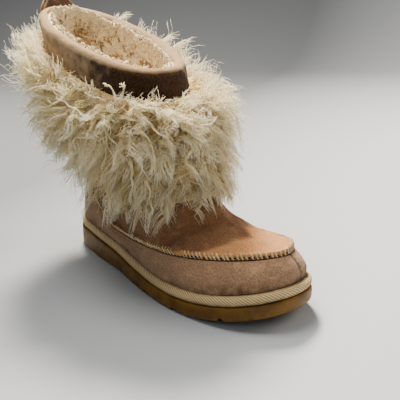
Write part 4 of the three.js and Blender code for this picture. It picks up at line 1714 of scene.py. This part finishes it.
@dataclass(frozen=True)
class LongWool:
    """The long wool round the shaft: a soft core and many wavy locks of fine fibres."""

    # share of the wool's height, reach out of the shaft, drop at the toe and drop at the heel
    fall: tuple = (
        (0.0, 12, 18, -4),
        (0.28, 22, 26, 4),
        (0.58, 30, 24, 2),
        (0.88, 34, 6, -14),
        (1.0, 28, -4, -20),
    )

    # thickness of the core at even steps up the wool
    swell: tuple = (3, 9, 14, 16, 15, 8)

    # the undercoat's lower tones paint shade deep in the wool
    layers: tuple = (
        WoolLayer(
            "wool_undercoat", 800, 5, 6, (0, 1), 0.66, 0.5, 9, (4.0, 2.6), 1.7, 9, 1,
            (0.34, 0.52), (0.72, 0.94), 61,
        ),
        WoolLayer(
            "wool_locks_low", 150, 18, 9, (0, 0.5), 1, 1, 9, (4.4, 1.0), 3.0, 20, 4,
            (0.32, 0.48), (0.8, 1.04), 62,
        ),
        WoolLayer(
            "wool_locks_high", 150, 18, 9, (0.5, 1), 1, 1, 12, (4.4, 1.0), 3.2, 20, 5,
            (0.32, 0.48), (0.9, 1.1), 63,
        ),
        WoolLayer(
            "wool_ringlets", 290, 6, 11, (0.25, 1), 0.95, 0.4, 6, (1.6, 0.6), 3.0, 12, 4,
            (0.3, 0.44), (0.94, 1.12), 64, front=True,
        ),
        WoolLayer(
            "wool_fuzz", 520, 4, 7, (0.86, 1), 0.55, 0.5, 10, (3.4, 2.8), 2.0, 12, 2,
            (0.24, 0.38), (0.84, 1.06), 65, lift=7,
        ),
        WoolLayer(
            "wool_wisps", 400, 3, 9, (0.1, 1), 1.05, 0.9, 14, (0.8, 0.5), 3.2, 22, 5,
            (0.3, 0.42), (1.0, 1.18), 66,
        ),
    )

    # bright strands laid over the rest: angle in degrees, level and distance out at each point
    strands: tuple = (
        ((41, 14.0, 24), (37, 13.9, 33), (38, 13.4, 36), (42, 12.5, 36), (47, 11.7, 34)),
        ((40, 13.9, 26), (36, 13.6, 34), (37, 12.6, 36), (39, 12.1, 34)),
        ((70, 14.0, 28), (56, 14.1, 34), (46, 14.1, 38), (41, 14.0, 36)),
        ((58, 13.8, 24), (58, 13.4, 32), (65, 12.6, 34), (70, 12.1, 32)),
        ((48, 13.7, 26), (51, 13.2, 34), (62, 12.4, 36), (74, 12.0, 34)),
        ((32, 14.0, 24), (25, 14.1, 34), (19, 14.1, 40), (16, 13.8, 42), (14, 13.4, 42), (16, 12.3, 38)),
        ((24, 13.8, 28), (20, 13.6, 38), (23, 12.4, 42), (26, 12.0, 40), (31, 11.6, 36)),
        ((27, 14.1, 26), (20, 14.4, 34), (16, 14.4, 40), (14, 14.1, 40)),
        ((10, 14.1, 28), (7, 13.9, 38), (4, 13.5, 42), (1, 12.9, 44), (356, 13.6, 42)),
        ((7, 13.4, 34), (7, 12.4, 42), (3, 12.4, 44)),
        ((43, 14.6, 12), (36, 14.7, 20), (32, 14.3, 22)),
        ((30, 14.7, 12), (28, 14.7, 18), (30, 14.4, 22)),
        ((10, 12.5, 32), (11, 12.0, 38), (14, 11.7, 36)),
        ((37, 12.2, 30), (40, 11.6, 34), (47, 11.0, 32), (56, 10.3, 28)),
        ((37, 11.4, 28), (39, 10.9, 32), (48, 9.9, 29), (58, 8.9, 25)),
        ((63, 11.8, 26), (70, 11.5, 30), (84, 11.1, 28)),
        ((68, 10.7, 22), (70, 10.2, 26), (76, 9.5, 22)),
        ((87, 14.2, 26), (103, 14.4, 36), (122, 14.4, 36)),
        ((79, 13.8, 28), (97, 13.7, 34), (118, 13.6, 33)),
        ((69, 13.7, 26), (85, 13.4, 32), (108, 13.0, 30)),
        ((330, 13.8, 26), (322, 13.2, 36), (318, 12.2, 38), (322, 11.4, 34)),
        ((345, 14.0, 28), (338, 13.2, 38), (340, 12.0, 40)),
    )

    # how far the wool's lower edge rises over the quarter, and where in degrees
    bare_share: float = 0.3
    bare_angle: float = 112
    bare_width: float = 30

    # angles in degrees between which the ringlets lie
    front_span: tuple = (25, -125)
    front_reach: float = 8
    root_depth: float = 3.0

    # rings of the core, steps up it, its height, size and seed of unevenness, and its tone, darkened as
    # painted shade under the locks
    core_around: int = 200
    core_rows: int = 34
    core_lumps: tuple = ((1.6, 20, 51), (0.9, 9, 52))
    core_tone: float = 0.72

    # place along a fibre whose colour the core takes, its darker root end as painted shade, then height, size
    # and seed of its unevenness
    core_colour: tuple = (0.4, 0.12, 12, 53)

    # share of the height from which the core stands outside the cuff's lower edge, and the least
    # distances out of its face and its back, there and below
    cuff_share: float = 0.8
    core_face: tuple = (6.2, 1.2)
    core_back: tuple = (5.4, 0.5)

    # range of a lock's own reach, and range and spread in millimetres of its own drop
    reach_range: tuple = (0.78, 1.1)
    drop_range: tuple = (0.6, 1.25)
    drop_spread: float = 3.5

    # share of the way to the heel where the wool starts to fall as at the heel, and over how much
    heelward: tuple = (0.3, 0.28)

    # ranges of a lock's own wavelength, wave and hook as shares of its layer's, and of a fibre's tone
    wavelength_range: tuple = (0.75, 1.3)
    wave_range: tuple = (0.6, 1.35)
    hook_range: tuple = (0.2, 1.2)
    tone_range: tuple = (0.9, 1.08)

    # share of a lock's length where its hook starts, and the share that is left for it
    hook_start: tuple = (0.62, 0.38)

    # random spread of a fibre in phase, in length, across its lock and out of it, and its frizz
    phase_spread: float = 0.3
    length_spread: float = 0.1
    across_spread: float = 0.5
    out_spread: float = 0.3
    frizz: float = 1.3

    # strands laid on top: fibres, points, radius, tone (lighter than the rest, a painted highlight), wave,
    # width at the ends, and what the middle loses
    strand_fibres: int = 11
    strand_steps: int = 15
    strand_radius: tuple = (0.2, 0.33)
    strand_tone: tuple = (1.06, 1.2)
    strand_wavelength: float = 17
    strand_ends: float = 2.4
    strand_pinch: float = 2.2
    strand_seed: int = 67

    # random spread of a strand's fibre in phase and in place, and its wave aside and above
    strand_phase: float = 0.5
    strand_loose: float = 0.7
    strand_wave: tuple = (0.9, 0.7)

    def build(self) -> list[bpy.types.Object]:
        """Makes the core, each layer of locks and the strands on top.

        Returns:
            The pieces, the core first.
        """
        wool = Wool().material()
        made = [self.core(wool)]
        for layer in self.layers:
            piece = fibres(layer.name, *self.fill(layer))
            made.append(dress(piece, wool))
        piece = fibres("wool_strands", *self.lay_strands())
        made.append(dress(piece, wool))
        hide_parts("wool")
        return made

    def above_bare(self, angle: np.ndarray, share: np.ndarray) -> np.ndarray:
        """Share of the wool's height, pushed up over the quarter, which is bare."""
        bare = self.bare_share * bell(np.degrees(angle) - self.bare_angle, self.bare_width)
        return bare + (1 - bare) * share

    def core(self, wool: bpy.types.Material) -> bpy.types.Object:
        """Makes the soft uneven mass under the locks, painted darker as their shade.

        Args:
            wool: Its material.

        Returns:
            The piece.
        """
        angle, share = np.meshgrid(turns(self.core_around), np.linspace(0, 1, self.core_rows))
        share = self.above_bare(angle, share)
        level = LAST.wool_level(angle, share)
        out = smooth_curve(share, list(np.linspace(0, 1, len(self.swell))), np.array(self.swell))
        base = LAST.form(angle, level)
        out = out + sum(height * lumps(base, size, seed) for height, size, seed in self.core_lumps)
        by_cuff = share > self.cuff_share
        out = np.maximum(out, np.where(by_cuff, *self.core_face))
        face = LAST.wall_point(angle, level, out)
        back = LAST.wall_point(angle, level, np.where(by_cuff, *self.core_back))
        points = np.concatenate([face, back[::-1], face[:1]])
        middle, height, size, seed = self.core_colour
        depth = np.clip(middle + height * lumps(base, size, seed), 0, 0.7)
        along = np.concatenate([depth, depth[::-1], depth[:1]])
        tone = np.full_like(along, self.core_tone)
        piece = wrap("wool_core", points, {"along": along, "tone": tone}, smooth=80)
        return dress(piece, wool)

    def fill(self, layer: WoolLayer) -> tuple[np.ndarray, np.ndarray, dict]:
        """Scatters a layer's locks evenly and fills them with fibres that draw together at the tip.

        Args:
            layer: The kind of lock.

        Returns:
            Middle lines, radii and attributes of the fibres.
        """
        random = np.random.default_rng(layer.seed)
        count, each = layer.locks, layer.fibres
        number = np.arange(count)
        first, last = np.radians(self.front_span) if layer.front else (0, FULL_TURN)
        around, up = ((number * step + start) % 1 for step, start in zip(EVEN_STEPS, EVEN_STARTS))
        angle = first + (last - first) * around
        low, high = layer.shares
        share = self.above_bare(angle, low + (high - low) * up)
        table = np.array(self.fall)
        reach, toe_drop, heel_drop = (smooth_curve(share, list(table[:, 0]), table[:, i]) for i in (1, 2, 3))
        first_share, blend = self.heelward
        heelward = smooth_step((LAST.along(angle) - first_share) / blend)
        drop = (toe_drop + (heel_drop - toe_drop) * heelward) * layer.fall
        reach = layer.reach * (reach + self.front_reach * np.maximum(np.cos(angle), 0) * share)
        reach = reach * random.uniform(*self.reach_range, count)
        drop = drop * random.uniform(*self.drop_range, count)
        drop = drop + random.normal(0, self.drop_spread, count) - layer.lift
        aside = random.normal(0, layer.fan, count)
        bright = random.uniform(*layer.tone, count)
        level = LAST.wool_level(angle, share)
        root = LAST.wall_point(angle, level, np.full_like(level, self.root_depth))
        normal = LAST.normal(angle, level)
        side = unit(np.cross(np.array([0, 0, 1.0]), normal))
        climb = np.cross(normal, side)
        s = np.linspace(0, 1, layer.steps)[None, None, :, None]

        def per_lock(values: np.ndarray) -> np.ndarray:
            """Lock values ready to meet fibres and points."""
            return values.reshape(count, 1, 1, -1)

        def scatter(spread: float) -> np.ndarray:
            """One random value for each fibre."""
            return random.normal(0, spread, (count, each, 1, 1))

        root, normal, side, climb = (per_lock(v) for v in (root, normal, side, climb))
        guide = normal * per_lock(reach) * (1.5 * s - 0.5 * s * s)
        guide = guide + np.array([0, 0, -1.0]) * per_lock(drop) * s * s + side * per_lock(aside) * s**1.5
        length = np.sqrt(reach**2 + drop**2 + aside**2)
        bends = per_lock(length / (layer.wavelength * random.uniform(*self.wavelength_range, count)))
        start = per_lock(random.uniform(0, FULL_TURN, count))
        turn = per_lock(random.choice([-1.0, 1.0], count))
        wave = turn * (FULL_TURN * bends * s + start + scatter(self.phase_spread))
        size = layer.wave * per_lock(random.uniform(*self.wave_range, count)) * np.minimum(s * 2.2, 1)
        sway = size * (np.sin(wave) * side + np.cos(wave) * (0.75 * climb - 0.35 * normal))
        hooked_from, left = self.hook_start
        bend = np.pi * np.clip((s - hooked_from) / left, 0, 1)
        curl = turn * (1 - np.cos(bend)) * side * 0.5 + np.sin(bend) * climb * 0.5
        hook = layer.hook * per_lock(random.uniform(*self.hook_range, count)) * curl
        wide, close = layer.spread
        gather = close + (wide - close) * (1 - s) ** 0.8
        loose = scatter(self.across_spread) * side + scatter(self.across_spread) * climb
        loose = (loose + scatter(self.out_spread) * normal) * gather
        frizz = (scatter(1.0) * side + scatter(1.0) * climb) * s**3 * self.frizz
        paths = root + guide * (1 + scatter(self.length_spread)) + sway + hook + loose + frizz
        paths = paths.reshape(count * each, layer.steps, 3)
        radius = random.uniform(*layer.radius, count * each)
        along = np.broadcast_to(s[0, 0, :, 0], (count * each, layer.steps))
        tone = np.repeat(bright, each)[:, None] * random.uniform(*self.tone_range, (count * each, 1))
        return paths, radius, {"along": along, "tone": np.broadcast_to(tone, along.shape)}

    def lay_strands(self) -> tuple[np.ndarray, np.ndarray, dict]:
        """Fills the listed strands with a few close fibres each.

        Returns:
            Middle lines, radii and attributes of the fibres.
        """
        random = np.random.default_rng(self.strand_seed)
        steps, each = self.strand_steps, self.strand_fibres
        paths = []
        for strand in self.strands:
            degrees, level, out = (np.array(values, float) for values in zip(*strand))
            angle = np.unwrap(np.radians(degrees))
            points = LAST.wall_point(angle, level, out)
            run = run_along(points)
            at = np.linspace(0, run[-1], steps)
            line = np.stack([smooth_curve(at, list(run), points[:, axis]) for axis in range(3)], axis=-1)
            heading = unit(np.gradient(line, axis=0))
            across = unit(np.cross(heading, np.array([0.4, -0.6, 0.7])))
            over = np.cross(heading, across)
            share = np.linspace(0, 1, steps)
            width = self.strand_ends - self.strand_pinch * np.sin(np.pi * (0.12 + 0.76 * share))
            start = random.uniform(0, FULL_TURN)
            for _ in range(each):
                wave = at / self.strand_wavelength * FULL_TURN + start + random.normal(0, self.strand_phase)
                a, b = random.normal(0, self.strand_loose, 2)
                aside = a * width + self.strand_wave[0] * np.sin(wave) * np.minimum(share * 4, 1)
                above = b * width + self.strand_wave[1] * np.cos(wave) * np.minimum(share * 4, 1)
                paths.append(line + across * aside[:, None] + over * above[:, None])
        radius = random.uniform(*self.strand_radius, len(paths))
        along = np.broadcast_to(np.linspace(0.5, 1, steps), (len(paths), steps))
        # the strands' tone above 1 is a painted highlight
        tone = np.broadcast_to(random.uniform(*self.strand_tone, (len(paths), 1)), along.shape)
        return np.array(paths), radius, {"along": along, "tone": tone}


@dataclass(frozen=True)
class PullTab:
    """The folded leather strap at the back of the collar."""

    width: float = 36
    leather: float = 2
    across: int = 24
    along: int = 60

    # height above the collar's edge and distance out of the strap's middle line
    path: tuple = (
        (-15, 6.2), (-8, 6.0), (2, 5.9), (7, 5.7), (10, 5.5), (11.4, 6.4), (12, 8.1),
        (11.4, 9.8), (10, 10.5), (7, 9.9), (2, 9.2), (-8, 8.7), (-15, 8.7),
    )

    # height and share of the width that is left there
    taper: tuple = ((-12, 1), (2.5, 0.72), (7.5, 0.5), (13, 0.26))

    # power that rounds the strap's edges, and where the cut edge starts and over how much it blends
    rounding: int = 12
    cut_edge: tuple = (0.86, 0.1)

    def build(self) -> list[bpy.types.Object]:
        """Makes the strap with rounded edges and dresses it.

        Returns:
            The piece.
        """
        table = np.array(self.path, float)
        run = run_along(table)
        at = np.linspace(0, run[-1], self.along)
        line = np.stack([smooth_curve(at, list(run), table[:, i]) for i in (0, 1)], axis=-1)
        heading = unit(np.gradient(line, axis=0))
        beside = np.stack([-heading[:, 1], heading[:, 0]], axis=-1)
        half_share = self.width / 2 / LAST.column("lateral", LAST.collar)
        spread = math.asin(half_share ** (1 / LAST.shaft_fullness))
        steps = np.array(self.taper)
        station = np.linspace(-1, 1, self.across)
        half = self.leather / 2 * np.sqrt(np.clip(1 - np.abs(station) ** self.rounding, 0.1, 1))
        first, blend = self.cut_edge
        rings, edges = [], []
        for share, thick in zip(station, half):
            outline = np.concatenate([line + beside * thick, (line - beside * thick)[::-1]])
            outline = np.concatenate([outline, outline[:1]])
            width = smooth_curve(outline[:, 0], list(steps[:, 0]), steps[:, 1])
            angle = math.pi + share * spread * width
            rings.append(LAST.collar_point(angle, outline[:, 0], outline[:, 1]))
            edges.append(np.full(len(outline), smooth_step((abs(share) - first) / blend)))
        body = np.array(rings)
        ends = [self.flat_end(body[0]), self.flat_end(body[-1])]
        points = np.concatenate([ends[0][None], body, ends[1][None]])
        edge = np.array([edges[0], *edges, edges[-1]])
        piece = wrap("pull_tab", points, {"edge": edge}, smooth=50)
        dress(piece, StrapLeather().material())
        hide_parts("pull_tab")
        return [piece]

    def flat_end(self, ring: np.ndarray) -> np.ndarray:
        """Middle line of a side of the strap, which closes it there."""
        return (ring + ring[::-1]) / 2


@dataclass(frozen=True)
class Studio:
    """Camera, floor and soft light, with the view's directions on the floor."""

    camera_at: tuple = (-296.1, -498.7, 223.6)
    target: tuple = (21.5, -103.3, 61.4)
    focal_length: float = 55.9
    film_width: float = 36.0
    roll: float = -0.193
    behind: tuple = (0.626, 0.78)
    right: tuple = (0.78, -0.626)
    paper: str = "BCC3CC"
    paper_shade: str = "6C7279"

    # the paper in millimetres: where it starts to bend, its bend, its height, front and half width
    bend_start: float = 1500
    bend: float = 700
    top: float = 2600
    front: float = 3000
    half_width: float = 4000

    # slope of the paper's painted shade along x and y, where the light falls off, and the range in metres
    # over which it darkens
    shade_slope: tuple = (0.5, 0.85)
    shade_range: tuple = (-0.25, 0.2)

    # name, place and size in metres, power in watts and colour of each lamp
    lamps: tuple = (
        ("key", (0.42, 0.68, 1.4), 0.36, 92.0, "FFF1DC"),
        ("top", (-0.3, 0.25, 1.6), 0.8, 24.0, "FFF8EC"),
        ("right", (1.3, -0.9, 1.1), 1.0, 14.0, "FFF0D8"),
        ("left", (-0.85, -0.95, 1.0), 0.9, 4.0, "FFFCF6"),
    )
    lit: tuple = (-0.01, -0.1, 0.08)
    room: str = "DDE2EA"
    room_strength: float = 0.15

    def camera(self) -> None:
        """Puts the camera at the photo's viewing angle."""
        data = bpy.data.cameras.new("view")
        data.lens, data.sensor_width = self.focal_length, self.film_width
        data.clip_start, data.clip_end = 0.01, 50
        camera = bpy.data.objects.new("view", data)
        bpy.context.scene.collection.objects.link(camera)
        at, target = Vector(self.camera_at) * MM, Vector(self.target) * MM
        aim = (target - at).to_track_quat("-Z", "Y").to_matrix().to_4x4()
        camera.matrix_world = Matrix.Translation(at) @ aim @ Matrix.Rotation(math.radians(self.roll), 4, "Z")
        bpy.context.scene.camera = camera

    def floor(self) -> None:
        """Lays a pale paper sweep that rises softly far behind the boot, with shade painted darker towards
        the left and back.
        """
        turn = np.linspace(0, math.pi / 2, 16)
        curve = self.bend_start + self.bend * np.sin(turn)
        away = np.concatenate([[-self.front], curve, [self.bend_start + self.bend]])
        height = np.concatenate([[0], self.bend * (1 - np.cos(turn)), [self.top]])
        aside = np.array([-self.half_width, 0, self.half_width])
        plan = np.array(self.behind) * away[:, None, None] + np.array(self.right) * aside[None, :, None]
        tall = np.broadcast_to(height[:, None, None], (*plan.shape[:2], 1))
        floor = wrap("paper_sweep", np.concatenate([plan, tall], axis=-1))
        s = Surface("pale_paper")
        x, y = (s.add("ShaderNodeSeparateXYZ", {0: s.place}, axis) for axis in (0, 1))
        back = s.add(MATH, {0: y, 1: self.shade_slope[1]}, operation="MULTIPLY")
        aside = s.add(MATH, {0: x, 1: self.shade_slope[0]}, operation="MULTIPLY")
        leftward = s.add(MATH, {0: back, 1: aside}, operation="SUBTRACT")
        share = s.add(RANGE, {0: leftward, 1: self.shade_range[0], 2: self.shade_range[1]})
        # painted shade: the paper darkens where the light would fall off
        tint = s.add(MIX, {"Fac": share, "Color1": colour(self.paper), "Color2": colour(self.paper_shade)})
        floor.data.materials.append(s.finish({"Base Color": tint, "Roughness": 0.7}))

    def lights(self) -> None:
        """Adds a high key and a soft light from behind, weak ones from both sides and a dim world."""
        for name, place, size, power, tint in self.lamps:
            data = bpy.data.lights.new(name, "AREA")
            data.shape, data.size, data.energy = "DISK", size, power
            data.color = colour(tint)[:3]
            lamp = bpy.data.objects.new(name, data)
            bpy.context.scene.collection.objects.link(lamp)
            lamp.location = place
            lamp.rotation_mode = "QUATERNION"
            aim = Vector(self.lit) - Vector(place)
            lamp.rotation_quaternion = aim.to_track_quat("-Z", "Y")
        world = bpy.data.worlds.new("room")
        world.use_nodes = True
        background = world.node_tree.nodes["Background"]
        background.inputs["Color"].default_value = colour(self.room)
        background.inputs["Strength"].default_value = self.room_strength
        bpy.context.scene.world = world


def main() -> None:
    """Builds the view and the boot's pieces in order."""
    studio = Studio()
    studio.camera()
    studio.floor()
    studio.lights()
    for maker in (Outsole(), MidsoleWrap(), Upper(), Lining(), Cuff(), LongWool(), PullTab()):
        for piece in maker.build():
            triangles = sum(len(face.vertices) - 2 for face in piece.data.polygons)
            log.info("%s: %d triangles", piece.name, triangles)


if __name__ == "__main__":
    main()
